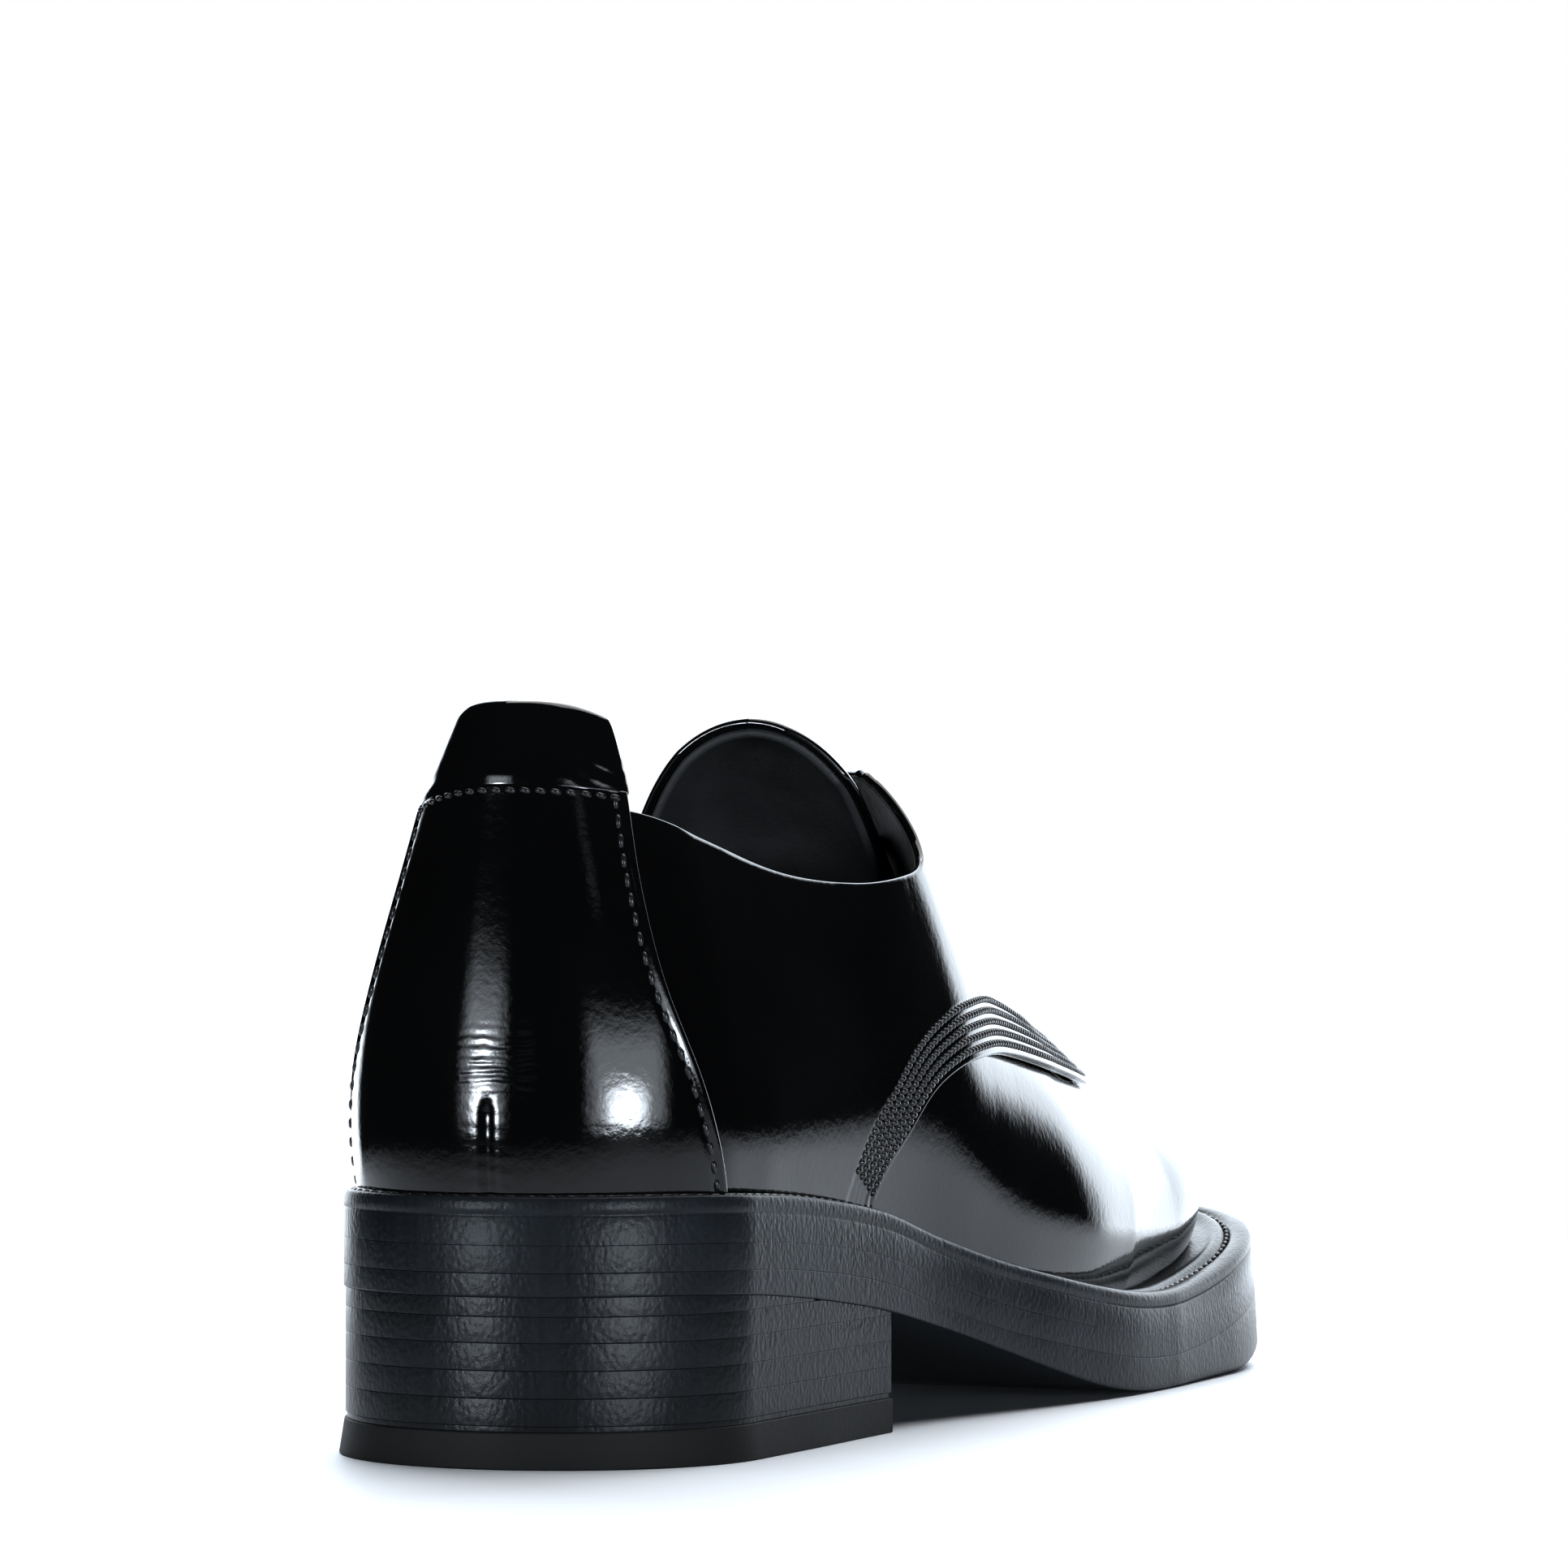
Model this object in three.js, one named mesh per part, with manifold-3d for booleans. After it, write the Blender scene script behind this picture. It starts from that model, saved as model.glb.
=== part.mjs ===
// A right-foot derby shoe in patent leather: stacked block heel, three-layer welted sole, shaped upper
// with a broad back strap and heel tab, four pairs of eyelets, a round lace and a tongue that swings.
// Millimetres, +Z up, toe toward +Y, outer (little toe) side toward +X, standing on Z = 0.
import * as THREE from 'three';
import { mergeGeometries, mergeVertices } from 'three/addons/utils/BufferGeometryUtils.js';
import Module from 'manifold-3d';

const wasm = await Module();
wasm.setup();

// ---------------------------------------------------------------- driving dimensions
const LENGTH = 276;             // heel to toe, over the sole
const along = (y) => (y * LENGTH) / 276;   // places along the shoe are set at 276 and stretch with it
const HEEL_ROUND = along(32);          // how far the round of the heel runs forward
const TOE_ROUND = along(62);           // how far the round of the toe runs back
const TOE_SQUARENESS = 2.4;     // 2 is an ellipse, more is squarer
const HEEL_HALF_WIDTH = 34;
const BALL_HALF_WIDTH_OUTER = 50;
const BALL_HALF_WIDTH_INNER = 47.5;
const BREAST_Y = along(82);            // front face of the heel
const FIT_GAP = 0.3;            // left between pieces that touch
// a wider or longer forefoot has longer facets, which need more room between the sheets
const FACET_GAP = FIT_GAP * ((BALL_HALF_WIDTH_OUTER / 50) * (LENGTH / 276)) ** 2;

const TOP_PIECE_HEIGHT = 5.5;   // rubber under the heel
const TOP_PIECE_STEP = 1.0;     // rubber stands out past the lifts
const BAND_HEIGHT = 0.9;
const LIFT_HEIGHT = 4.1;
const FULL_LIFTS = 3;
const CUT_LIFT_HEIGHT = 3.9;

const SOLE_INSET = 0.7;         // sole edge, in from the rubber top piece
const LIP_HEIGHT = 2.4;         // top lip of the welt
const WELT_BODY = 4.7;
const MIDSOLE = 4.15;
const WELT_RING_WIDTH = 7;      // hidden part of the welt under the upper
const BOARD = 2.4;              // insole board
const SOCK = 1.4;               // sock liner
const SHANK_WIDTH = 12;
const SHANK_THICKNESS = 1.2;
const NAIL_RADIUS = 1.1;

const LEATHER = 1.5;            // quarter, vamp and strap
const STIFFENER = 1.3;
const LINING = 1.3;
const EYELET_BORE = 1.5;
const EYELET_BARREL = 2.0;
const EYELET_FLANGE = 3.6;
const EYELET_FLANGE_THICKNESS = 0.6;
const EYELET_PAIRS = 4;
const LACE_RADIUS = 0.9;
const TONGUE_HINGE_Y = along(200);
const TONGUE_TOP_Y = along(99);
const TONGUE_HALF_WIDTH = 23;

// ---------------------------------------------------------------- small tools
// smooth curve through hand-set points, level past both ends
function through(points) {
  return (y) => {
    const last = points.length - 1;
    if (y <= points[0][0]) return points[0][1];
    if (y >= points[last][0]) return points[last][1];
    let i = 0;
    while (y > points[i + 1][0]) i += 1;
    const slope = (k) => {
      const a = points[Math.max(k - 1, 0)];
      const b = points[Math.min(k + 1, last)];
      return (b[1] - a[1]) / (b[0] - a[0]);
    };
    const span = points[i + 1][0] - points[i][0];
    const u = (y - points[i][0]) / span;
    const h00 = (1 + 2 * u) * (1 - u) ** 2;
    const h10 = u * (1 - u) ** 2;
    const h01 = u * u * (3 - 2 * u);
    const h11 = u * u * (u - 1);
    const from = h00 * points[i][1] + h10 * span * slope(i);
    return from + h01 * points[i + 1][1] + h11 * span * slope(i + 1);
  };
}

// the same, along the shoe
const profile = (points) => through(points.map(([y, value]) => [along(y), value]));

// evenly spaced values, both ends included
const range = (count, from, to) => (
  Array.from({ length: count + 1 }, (_, i) => from + ((to - from) * i) / count));

function geometryOf(positions, triangles) {
  const geometry = new THREE.BufferGeometry();
  const values = positions.flatMap((p) => [p.x, p.y, p.z]);
  geometry.setAttribute('position', new THREE.Float32BufferAttribute(values, 3));
  geometry.setIndex(triangles);
  return geometry;
}

function solidOf(geometry) {
  const bare = geometry.clone();
  bare.deleteAttribute('normal');
  bare.deleteAttribute('uv');
  const merged = mergeVertices(bare, 1e-4);
  const mesh = new wasm.Mesh({
    numProp: 3,
    vertProperties: new Float32Array(merged.attributes.position.array),
    triVerts: new Uint32Array(merged.index.array),
  });
  return new wasm.Manifold(mesh);
}

function cutFrom(geometry, cutters) {
  let solid = solidOf(geometry);
  for (const cutter of cutters) solid = solid.subtract(solidOf(cutter));
  const mesh = solid.getMesh();
  const result = new THREE.BufferGeometry();
  result.setAttribute('position', new THREE.Float32BufferAttribute(mesh.vertProperties, 3));
  result.setIndex(Array.from(mesh.triVerts));
  return result;
}

// closed loops of equal length joined in order; in a ring the last joins the first, otherwise the ends
// are capped
function loft(loops, ring = false) {
  const sides = loops[0].length;
  const triangles = [];
  const rows = ring ? loops.length : loops.length - 1;
  for (let i = 0; i < rows; i += 1) {
    const next = (i + 1) % loops.length;
    for (let j = 0; j < sides; j += 1) {
      const k = (j + 1) % sides;
      const a = i * sides + j;
      const b = i * sides + k;
      const c = next * sides + k;
      const d = next * sides + j;
      triangles.push(a, b, c, a, c, d);
    }
  }
  if (!ring) {
    const end = (loops.length - 1) * sides;
    for (let j = 1; j < sides - 1; j += 1) {
      triangles.push(0, j + 1, j);
      triangles.push(end, end + j, end + j + 1);
    }
  }
  return geometryOf(loops.flat(), triangles);
}

// ---------------------------------------------------------------- plan of the sole
// the outer side widens from heel to ball by these shares of the difference
const widen = (share) => HEEL_HALF_WIDTH + share * (BALL_HALF_WIDTH_OUTER - HEEL_HALF_WIDTH);
const sideOuter = profile([
  [32, widen(0)], [55, widen(0.0625)], [80, widen(0.14375)], [100, widen(0.25)], [120, widen(0.4625)],
  [143, widen(0.7375)], [165, widen(0.925)], [187, widen(1)]]);
const sideInner = profile([
  [32, HEEL_HALF_WIDTH], [55, HEEL_HALF_WIDTH + 0.3], [80, HEEL_HALF_WIDTH - 1.5],
  [103, HEEL_HALF_WIDTH - 2.8], [125, HEEL_HALF_WIDTH - 0.5], [148, BALL_HALF_WIDTH_INNER - 8.5],
  [170, BALL_HALF_WIDTH_INNER - 3], [195, BALL_HALF_WIDTH_INNER]]);
const centreLine = profile([[32, -2.2], [150, -2.2], [214, -2.8], [276, -4]]);

function endRound(y, inset) {
  const toeStart = LENGTH - TOE_ROUND;
  if (y < HEEL_ROUND) return Math.sqrt(Math.max(0, 1 - ((HEEL_ROUND - y) / (HEEL_ROUND - inset)) ** 2));
  if (y > toeStart) {
    const far = Math.min(1, (y - toeStart) / (TOE_ROUND - inset));
    return (1 - far ** TOE_SQUARENESS) ** (1 / TOE_SQUARENESS);
  }
  return 1;
}

function edgeX(side, y, inset) {
  const half = (side > 0 ? sideOuter(y) : sideInner(y)) - inset;
  return centreLine(y) + side * half * endRound(y, inset);
}

// stations along the shoe, close together where the ends are round
function stations(from, to, step = 9) {
  const list = [];
  const rearEnd = Math.min(HEEL_ROUND, to);
  if (from < HEEL_ROUND) {
    const turn = (u) => rearEnd - (rearEnd - from) * Math.cos((u * Math.PI) / 2);
    list.push(...range(9, 0.06, 1).map(turn));
  } else {
    list.push(from);
  }
  const start = list[list.length - 1];
  const toeStart = LENGTH - TOE_ROUND;
  const stop = Math.min(to, toeStart);
  const count = Math.max(1, Math.round((stop - Math.max(from, HEEL_ROUND)) / step));
  if (stop > start) list.push(...range(count, start, stop).slice(1));
  if (to > toeStart) {
    const turn = (u) => toeStart + (to - toeStart) * Math.sin((u * Math.PI) / 2);
    list.push(...range(11, 0, 0.97).slice(1).map(turn));
  }
  return list;
}

// a layer cut to the sole's plan: its floor and roof are heights that change along the shoe
function layer(from, to, inset, floor, roof) {
  const insetAt = typeof inset === 'function' ? inset : () => inset;
  const loops = stations(from, to).map((y) => {
    const outer = edgeX(1, y, insetAt(y));
    const inner = edgeX(-1, y, insetAt(y));
    return [
      new THREE.Vector3(inner, y, floor(y)),
      new THREE.Vector3(inner, y, roof(y)),
      new THREE.Vector3(outer, y, roof(y)),
      new THREE.Vector3(outer, y, floor(y)),
    ];
  });
  return loft(loops);
}

// ---------------------------------------------------------------- side profile of the sole
// the seat is set for a stack 22.6 high; a higher or lower stack carries seat and waist with it
const stackRaise = TOP_PIECE_HEIGHT + BAND_HEIGHT + FULL_LIFTS * LIFT_HEIGHT + CUT_LIFT_HEIGHT - 22.6;
const raise = profile([[82, stackRaise], [166, 0]]);
const soleCurve = profile([
  [0, 25.5], [20, 25.4], [45, 23.7], [68, 21.2], [82, 19.2], [103, 15], [120, 10.8], [140, 5.6],
  [153, 2.7], [166, 0.8], [180, 0], [224, 0], [240, 1.3], [256, 3.8], [276, 7.5]]);
const soleFloor = (y) => Math.max(0, soleCurve(y) + raise(y));
const weltCurve = profile([
  [0, 40.3], [20, 40.2], [50, 38.7], [80, 35.1], [100, 30.2], [120, 25.4], [140, 21.6], [155, 19.2],
  [170, 17.5], [185, 17], [200, 17.9], [215, 19.8], [230, 22.4], [250, 25.8], [276, 28.8]]);
const weltTop = (y) => weltCurve(y) + raise(y);
const lipFloor = (y) => weltTop(y) - LIP_HEIGHT;
const midsoleTop = (y) => lipFloor(y) - WELT_BODY;
const outsoleTop = (y) => midsoleTop(y) - MIDSOLE;
const featherInset = profile([[0, 3.4], [80, 3.8], [130, 5], [170, 7.5], [200, 9], [240, 9], [276, 8.5]]);

// ---------------------------------------------------------------- heel
const bandFloor = TOP_PIECE_HEIGHT + FIT_GAP;
const liftFloor = (k) => TOP_PIECE_HEIGHT + BAND_HEIGHT + k * LIFT_HEIGHT;
const cutLiftTop = liftFloor(FULL_LIFTS) + CUT_LIFT_HEIGHT;
const heelInset = TOP_PIECE_STEP;
const under = (y) => soleFloor(y) - FIT_GAP;
const flat = (z) => () => z;

const heelTopPiece = layer(0, BREAST_Y + 0.5, 0, flat(0), flat(TOP_PIECE_HEIGHT));
const heelBand = layer(heelInset, BREAST_Y, heelInset + 0.6, flat(bandFloor), flat(liftFloor(0)));
const fullLift = (k) => layer(
  heelInset, BREAST_Y, heelInset, flat(liftFloor(k) + FIT_GAP), flat(liftFloor(k + 1)));
const cutLift = layer(heelInset, BREAST_Y - 4, heelInset, flat(liftFloor(FULL_LIFTS) + FIT_GAP),
  (y) => Math.min(cutLiftTop, under(y)));
const heelWedge = layer(heelInset, along(48), heelInset, flat(cutLiftTop + FIT_GAP), under);

// ---------------------------------------------------------------- sole
const outsole = layer(SOLE_INSET, LENGTH, SOLE_INSET, soleFloor, outsoleTop);
const midsole = layer(SOLE_INSET, LENGTH, SOLE_INSET, (y) => outsoleTop(y) + FIT_GAP, midsoleTop);

// once round the shoe at one inset: outer side from heel to toe, then inner side back
function planLoop(insetAt) {
  const list = stations(insetAt(0), LENGTH - insetAt(LENGTH));
  const point = (side) => (y) => new THREE.Vector2(edgeX(side, y, insetAt(y)), y);
  return [...list.map(point(1)), ...list.map(point(-1)).reverse()];
}

// the ring reaches further in where the sheets above it stand further apart
const weltInset = (y) => featherInset(y) + WELT_RING_WIDTH + 9 * (FACET_GAP - FIT_GAP);
const weltOuter = planLoop(() => SOLE_INSET);
const weltInner = planLoop(weltInset);
const welt = loft(weltOuter.map((outer, i) => {
  const inner = weltInner[i];
  return [
    new THREE.Vector3(outer.x, outer.y, midsoleTop(outer.y) + FIT_GAP),
    new THREE.Vector3(inner.x, inner.y, midsoleTop(inner.y) + FIT_GAP),
    new THREE.Vector3(inner.x, inner.y, weltTop(inner.y)),
    new THREE.Vector3(outer.x, outer.y, weltTop(outer.y)),
  ];
}), true);

const innerInset = (y) => weltInset(y) + FIT_GAP;
const innerRear = innerInset(0);
const innerToe = LENGTH - innerInset(LENGTH);
const boardFloor = (y) => weltTop(y) - BOARD;
const filler = layer(
  innerRear, innerToe, innerInset, (y) => midsoleTop(y) + FIT_GAP, (y) => boardFloor(y) - FIT_GAP);
const insoleBoard = layer(innerRear, innerToe, innerInset, boardFloor, weltTop);
const sockFloor = (y) => weltTop(y) + FIT_GAP;
const sockLiner = layer(innerRear, innerToe, innerInset, sockFloor, (y) => sockFloor(y) + SOCK);

const SHANK_FROM = along(34);
const SHANK_TO = along(150);
function shankBar(extra) {
  return loft(range(14, SHANK_FROM - extra, SHANK_TO + extra).map((y) => {
    const half = SHANK_WIDTH / 2 + extra;
    const low = midsoleTop(y) + FIT_GAP - extra * 2;
    const high = midsoleTop(y) + FIT_GAP + SHANK_THICKNESS + extra;
    return [
      new THREE.Vector3(-half, y, low),
      new THREE.Vector3(-half, y, high),
      new THREE.Vector3(half, y, high),
      new THREE.Vector3(half, y, low),
    ];
  }));
}

const nailPlaces = [[-18, along(22)], [18, along(22)], [-19, along(60)], [19, along(60)]];
function nailBar([x, y], radius, low, high) {
  const bar = new THREE.CylinderGeometry(radius, radius, high - low, 8);
  bar.rotateX(Math.PI / 2);
  bar.translate(x, y, (low + high) / 2);
  return bar;
}
const nailHoles = nailPlaces.map((place) => nailBar(place, NAIL_RADIUS + FIT_GAP, liftFloor(0) + 1, 60));
const nailTop = ([, y]) => outsoleTop(y) - 0.5;
const nailed = (geometry) => cutFrom(geometry, nailHoles);

// ---------------------------------------------------------------- shape of the upper
// Four rails run round the shoe: feather, wall, crown and top. Across them each profile is a cubic curve.
// s runs 0 at the back of the heel to 1 at the toe on the outer side and to -1 on the inner side; t runs up.
const REAR_Y = along(36);
const FRONT_Y = LENGTH - TOE_ROUND;
const S_REAR = 0.2;
const S_FRONT = 0.78;
const bulge = {
  1: profile([[36, 6], [77, 8], [110, 9], [138, 7.5], [162, 8.5], [190, 8.5], [214, 7]]),
  [-1]: profile([[36, 6.5], [77, 7], [110, 7.5], [138, 6.5], [162, 6], [190, 6], [214, 5]]),
};
const wallRise = profile([
  [0, 30], [36, 30.4], [77, 33.5], [110, 35.5], [138, 36], [162, 32], [190, 26], [214, 22],
  [276, 16]]);
const crownHalf = {
  1: profile([
    [36, 18.5], [60, 24.5], [77, 28.5], [110, 30], [138, 22.5], [162, 23.5], [190, 25], [214, 24]]),
  [-1]: profile([
    [36, 15.5], [60, 22], [77, 26], [110, 28.5], [138, 23], [162, 22], [190, 22], [214, 21]]),
};
// down the instep the crown and the top are one ridge
const ridge = [
  [100, 119], [110, 116.5], [120, 109.5], [138, 94.5], [162, 78.5], [180, 71], [195, 64.5], [214, 56.5]];
const crownTop = profile([[0, 100], [36, 100], [60, 108], [80, 114.5], ...ridge, [240, 53], [276, 49]]);
const topHalf = profile([[36, 16], [60, 8], [80, 3], [96, 0]]);
const topHeight = profile([[0, 122], [36, 121], [60, 119.5], [80, 119.5], ...ridge]);
// a sheet tips down a little at its foot, so thicker leather starts further off the welt
const FOOT_GAP = FIT_GAP * (LEATHER / 1.5) ** 2;
const railHeight = [
  (y) => weltTop(y) + FOOT_GAP,
  (y) => weltTop(y) + FOOT_GAP + wallRise(y),
  crownTop,
  topHeight,
];
// how far each rail reaches behind REAR_Y at the back seam
const backReach = [REAR_Y - 4.4, REAR_Y - 0.8, along(23), along(24)];
const toeReach = [TOE_ROUND - 10, TOE_ROUND - 3, TOE_ROUND / 2, 0];   // and ahead of FRONT_Y at the toe

function railHalf(rail, side, y) {
  const foot = Math.abs(edgeX(side, Math.min(Math.max(y, REAR_Y), FRONT_Y), featherInset(y)) - centreLine(y));
  return [foot, foot + bulge[side](y), crownHalf[side](y), topHalf(y)][rail];
}

function railPoint(rail, s) {
  const side = s < 0 ? -1 : 1;
  const u = Math.abs(s);
  if (u < S_REAR) {
    const angle = (u / S_REAR) * (Math.PI / 2);
    const y = REAR_Y - backReach[rail] * Math.cos(angle);
    const x = side * railHalf(rail, side, REAR_Y) * Math.sin(angle);
    return new THREE.Vector3(centreLine(REAR_Y) + x, y, railHeight[rail](y));
  }
  if (u > S_FRONT) {
    const angle = ((Math.min(u, 1) - S_FRONT) / (1 - S_FRONT)) * (Math.PI / 2);
    const power = 2 / TOE_SQUARENESS;
    const y = FRONT_Y + toeReach[rail] * Math.sin(angle) ** power;
    const half = railHalf(rail, side, FRONT_Y) * Math.max(Math.cos(angle), 0) ** power;
    return new THREE.Vector3(centreLine(y) + side * half, y, railHeight[rail](y));
  }
  const y = REAR_Y + ((u - S_REAR) / (S_FRONT - S_REAR)) * (FRONT_Y - REAR_Y);
  return new THREE.Vector3(centreLine(y) + side * railHalf(rail, side, y), y, railHeight[rail](y));
}

function upperPoint(s, t) {
  const r = 1 - t;
  return new THREE.Vector3()
    .addScaledVector(railPoint(0, s), r ** 3)
    .addScaledVector(railPoint(1, s), 3 * r * r * t)
    .addScaledVector(railPoint(2, s), 3 * r * t * t)
    .addScaledVector(railPoint(3, s), t ** 3);
}

const sAt = (side, y) => side * (S_REAR + ((y - REAR_Y) / (FRONT_Y - REAR_Y)) * (S_FRONT - S_REAR));

// the t of a profile at which a measure passes a wanted value
function solveT(s, measure, wanted) {
  let low = 0;
  let high = 1;
  for (let i = 0; i < 30; i += 1) {
    const middle = (low + high) / 2;
    if (measure(upperPoint(s, middle)) < wanted) low = middle;
    else high = middle;
  }
  return low;
}
const tAtHeight = (s, z) => solveT(s, (p) => p.z, z);
// the t at which the profile comes within a distance of the shoe's centre line, above the wall
const tAtCentre = (s, half) => Math.max(0.5, solveT(s, (p) => -Math.abs(p.x - centreLine(p.y)), -half));

function upperNormal(s, t) {
  const step = 0.004;
  const across = upperPoint(s, Math.min(t + step, 1)).sub(upperPoint(s, t - step));
  const along = upperPoint(s + step, t).sub(upperPoint(s - step, t));
  return along.cross(across).normalize();
}
const offsetPoint = (s, t, distance) => upperPoint(s, t).addScaledVector(upperNormal(s, t), distance);

// ---------------------------------------------------------------- sheets of the upper
// one sheet: columns of [s, tLow, tHigh], cut into rows; side -1 and 1 columns can meet along the ridge
function sheet(columns, rows) {
  const points = [];
  for (const [s, low, high] of columns) {
    for (let j = 0; j <= rows; j += 1) points.push(upperPoint(s, low + ((high - low) * j) / rows));
  }
  const triangles = [];
  for (let i = 0; i < columns.length - 1; i += 1) {
    for (let j = 0; j < rows; j += 1) {
      const a = i * (rows + 1) + j;
      const b = a + rows + 1;
      triangles.push(a, b, b + 1, a, b + 1, a + 1);
    }
  }
  return geometryOf(points, triangles);
}

// gives a sheet its thickness between two distances from the shaped surface
function thicken(pieces, inner, outer) {
  const surface = mergeVertices(mergeGeometries(pieces), 1e-3);
  const place = surface.attributes.position;
  const source = surface.index.array;
  const faces = [];
  for (let i = 0; i < source.length; i += 3) {
    const [a, b, c] = [source[i], source[i + 1], source[i + 2]];
    if (a !== b && b !== c && c !== a) faces.push([a, b, c]);
  }
  surface.setIndex(faces.flat());
  surface.computeVertexNormals();
  const normal = surface.attributes.normal;
  const count = place.count;
  const points = [];
  for (const distance of [outer, inner]) {
    for (let i = 0; i < count; i += 1) {
      const p = new THREE.Vector3().fromBufferAttribute(place, i);
      points.push(p.addScaledVector(new THREE.Vector3().fromBufferAttribute(normal, i), distance));
    }
  }
  const edges = new Set();
  for (const [a, b, c] of faces) for (const [p, q] of [[a, b], [b, c], [c, a]]) edges.add(`${p},${q}`);
  const triangles = [];
  for (const [a, b, c] of faces) triangles.push(a, b, c, c + count, b + count, a + count);
  for (const edge of edges) {
    const [p, q] = edge.split(',').map(Number);
    if (!edges.has(`${q},${p}`)) triangles.push(p, p + count, q + count, p, q + count, q);
  }
  return geometryOf(points, triangles);
}

// ---------------------------------------------------------------- cut lines of the upper
const topline = profile([
  [0, 98.5], [18, 98], [34, 93.7], [56, 88.6], [79, 87.2], [98, 88.8], [106, 91], [110.5, 94.5], [112.5, 99],
  [115, 106]]);
const QUARTER_CORNER_Y = along(116);
const THROAT_Y = along(204);
const facingHalf = (y) => 11.5 - (7 * (y - QUARTER_CORNER_Y)) / (THROAT_Y - QUARTER_CORNER_Y);
const FRONT_FOOT_Y = along(81);
const frontEdge = profile([
  [81, 36.5], [84, 41.5], [90, 47], [97, 53], [104, 56.4], [113, 58.6], [130, 59.6], [160, 56.6],
  [190, 53.6], [198, 56], [202, 60]]);

const quarterColumns = (side) => {
  const toplineT = (s) => tAtHeight(s, topline(upperPoint(s, 0.7).y));
  const rear = range(6, 0.004, S_REAR).map((u) => [side * u, 0, toplineT(side * u)]);
  const ys = [
    46, 56, 66, 74, 81, 83, 86, 90, 94, 98, 102, 105, 107, 109, 110.5, 111.5, 112.5, 113.5, 115,
    116, 119, 126, 134, 144, 156, 168, 180, 190, 196, 200, 202.5];
  const rest = ys.map(along).map((y) => {
    const s = sAt(side, y);
    const low = y <= FRONT_FOOT_Y ? 0 : tAtHeight(s, frontEdge(y));
    if (y < QUARTER_CORNER_Y) return [s, low, tAtHeight(s, topline(y))];
    return [s, low, Math.max(tAtCentre(s, facingHalf(y)), low + 0.05)];
  });
  return [...rear, ...rest];
};

const oriented = (side, columns) => (side > 0 ? columns : [...columns].reverse());
const quarterSheet = (side) => sheet(oriented(side, quarterColumns(side)), 7);

// offsets of the layers from the shaped surface, outside to inside
const STRAP_IN = FIT_GAP;
const VAMP_OUT = -LEATHER - FACET_GAP;
const VAMP_IN = VAMP_OUT - LEATHER;
const LINING_OUT = VAMP_IN - 2 * FACET_GAP;
const LINING_IN = LINING_OUT - LINING;
const PUFF_IN = LINING_OUT - STIFFENER;
const VAMP_LINING_OUT = PUFF_IN - FACET_GAP;
const TONGUE_OUT = Math.min(VAMP_OUT - 2 * LACE_RADIUS - 3 * FIT_GAP, VAMP_IN - 4 * FIT_GAP);
const TONGUE_IN = TONGUE_OUT - LEATHER;

// ---------------------------------------------------------------- vamp, puff and linings
const toeSteps = range(9, 0, 1).slice(1);
const VAMP_REAR_Y = along(72);
const vampTop = profile([
  [72, 0.1], [84, 0.26], [97, 0.36], [110, 0.4], [130, 0.42], [160, 0.45], [180, 0.5], [190, 0.66],
  [198, 1]]);
const toeColumns = (side, low, high) => (
  toeSteps.map((u) => [side * (S_FRONT + (1 - S_FRONT) * u), low, high]));
const vampColumns = (side) => {
  const ys = [...range(9, VAMP_REAR_Y, along(180)), ...[186, 190, 194, 198, 205].map(along), FRONT_Y];
  return [...ys.map((y) => [sAt(side, y), 0, vampTop(y)]), ...toeColumns(side, 0, 1)];
};
const bothSides = (columnsOf, rows) => [1, -1].map((side) => sheet(oriented(side, columnsOf(side)), rows));
const vamp = thicken(bothSides(vampColumns, 7), VAMP_IN, VAMP_OUT);

const VAMP_LINING_REAR_Y = along(122);
const vampLiningTop = profile([
  [122, 0.42], [170, 0.44], [196, 0.46], [205, 0.5], [214, 1]]);
const LINING_FOOT = 0.02;       // linings and stiffeners stop this share of the way up from the feather
const vampLiningColumns = (side) => {
  const ys = [...range(7, VAMP_LINING_REAR_Y, along(196)), ...[205, 209].map(along), FRONT_Y];
  const column = (y) => [sAt(side, y), LINING_FOOT, vampLiningTop(y)];
  return [...ys.map(column), ...toeColumns(side, LINING_FOOT, 1)];
};
const vampLining = thicken(bothSides(vampLiningColumns, 6), VAMP_LINING_OUT - LINING, VAMP_LINING_OUT);

const puffColumns = [...toeColumns(1, 0, 0.72), ...toeColumns(-1, 0, 0.72).reverse().slice(1)];
const toePuff = thicken([sheet(puffColumns, 5)], PUFF_IN, LINING_OUT);

const LINING_FRONT_Y = VAMP_LINING_REAR_Y - 2;
const quarterLining = (() => {
  const ys = [...[46, 58, 70, 82, 94, 102, 108, 113].map(along), LINING_FRONT_Y];
  const half = (side) => [
    ...range(6, 0, S_REAR).slice(1).map((u) => side * u),
    ...ys.map((y) => sAt(side, y)),
  ];
  const column = (s) => {
    const y = upperPoint(s, 0.7).y;
    return [s, LINING_FOOT, tAtHeight(s, Math.min(topline(y), y < along(60) ? 98 : 89) - 0.4)];
  };
  const columns = [...half(-1).reverse(), 0, ...half(1)].map(column);
  return thicken([sheet(columns, 7)], LINING_IN, LINING_OUT);
})();

const COUNTER_FRONT_Y = along(66);
const heelCounter = (() => {
  const half = (side) => [
    ...range(6, 0, S_REAR).slice(1).map((u) => side * u),
    ...[along(46), along(56), COUNTER_FRONT_Y].map((y) => sAt(side, y)),
  ];
  const counterTop = profile([[0, 0.58], [36, 0.5], [66, 0.2]]);
  const column = (s) => [s, LINING_FOOT, counterTop(upperPoint(s, 0.3).y)];
  const columns = [...half(-1).reverse(), 0, ...half(1)].map(column);
  return thicken([sheet(columns, 5)], VAMP_IN, VAMP_OUT);
})();

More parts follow.
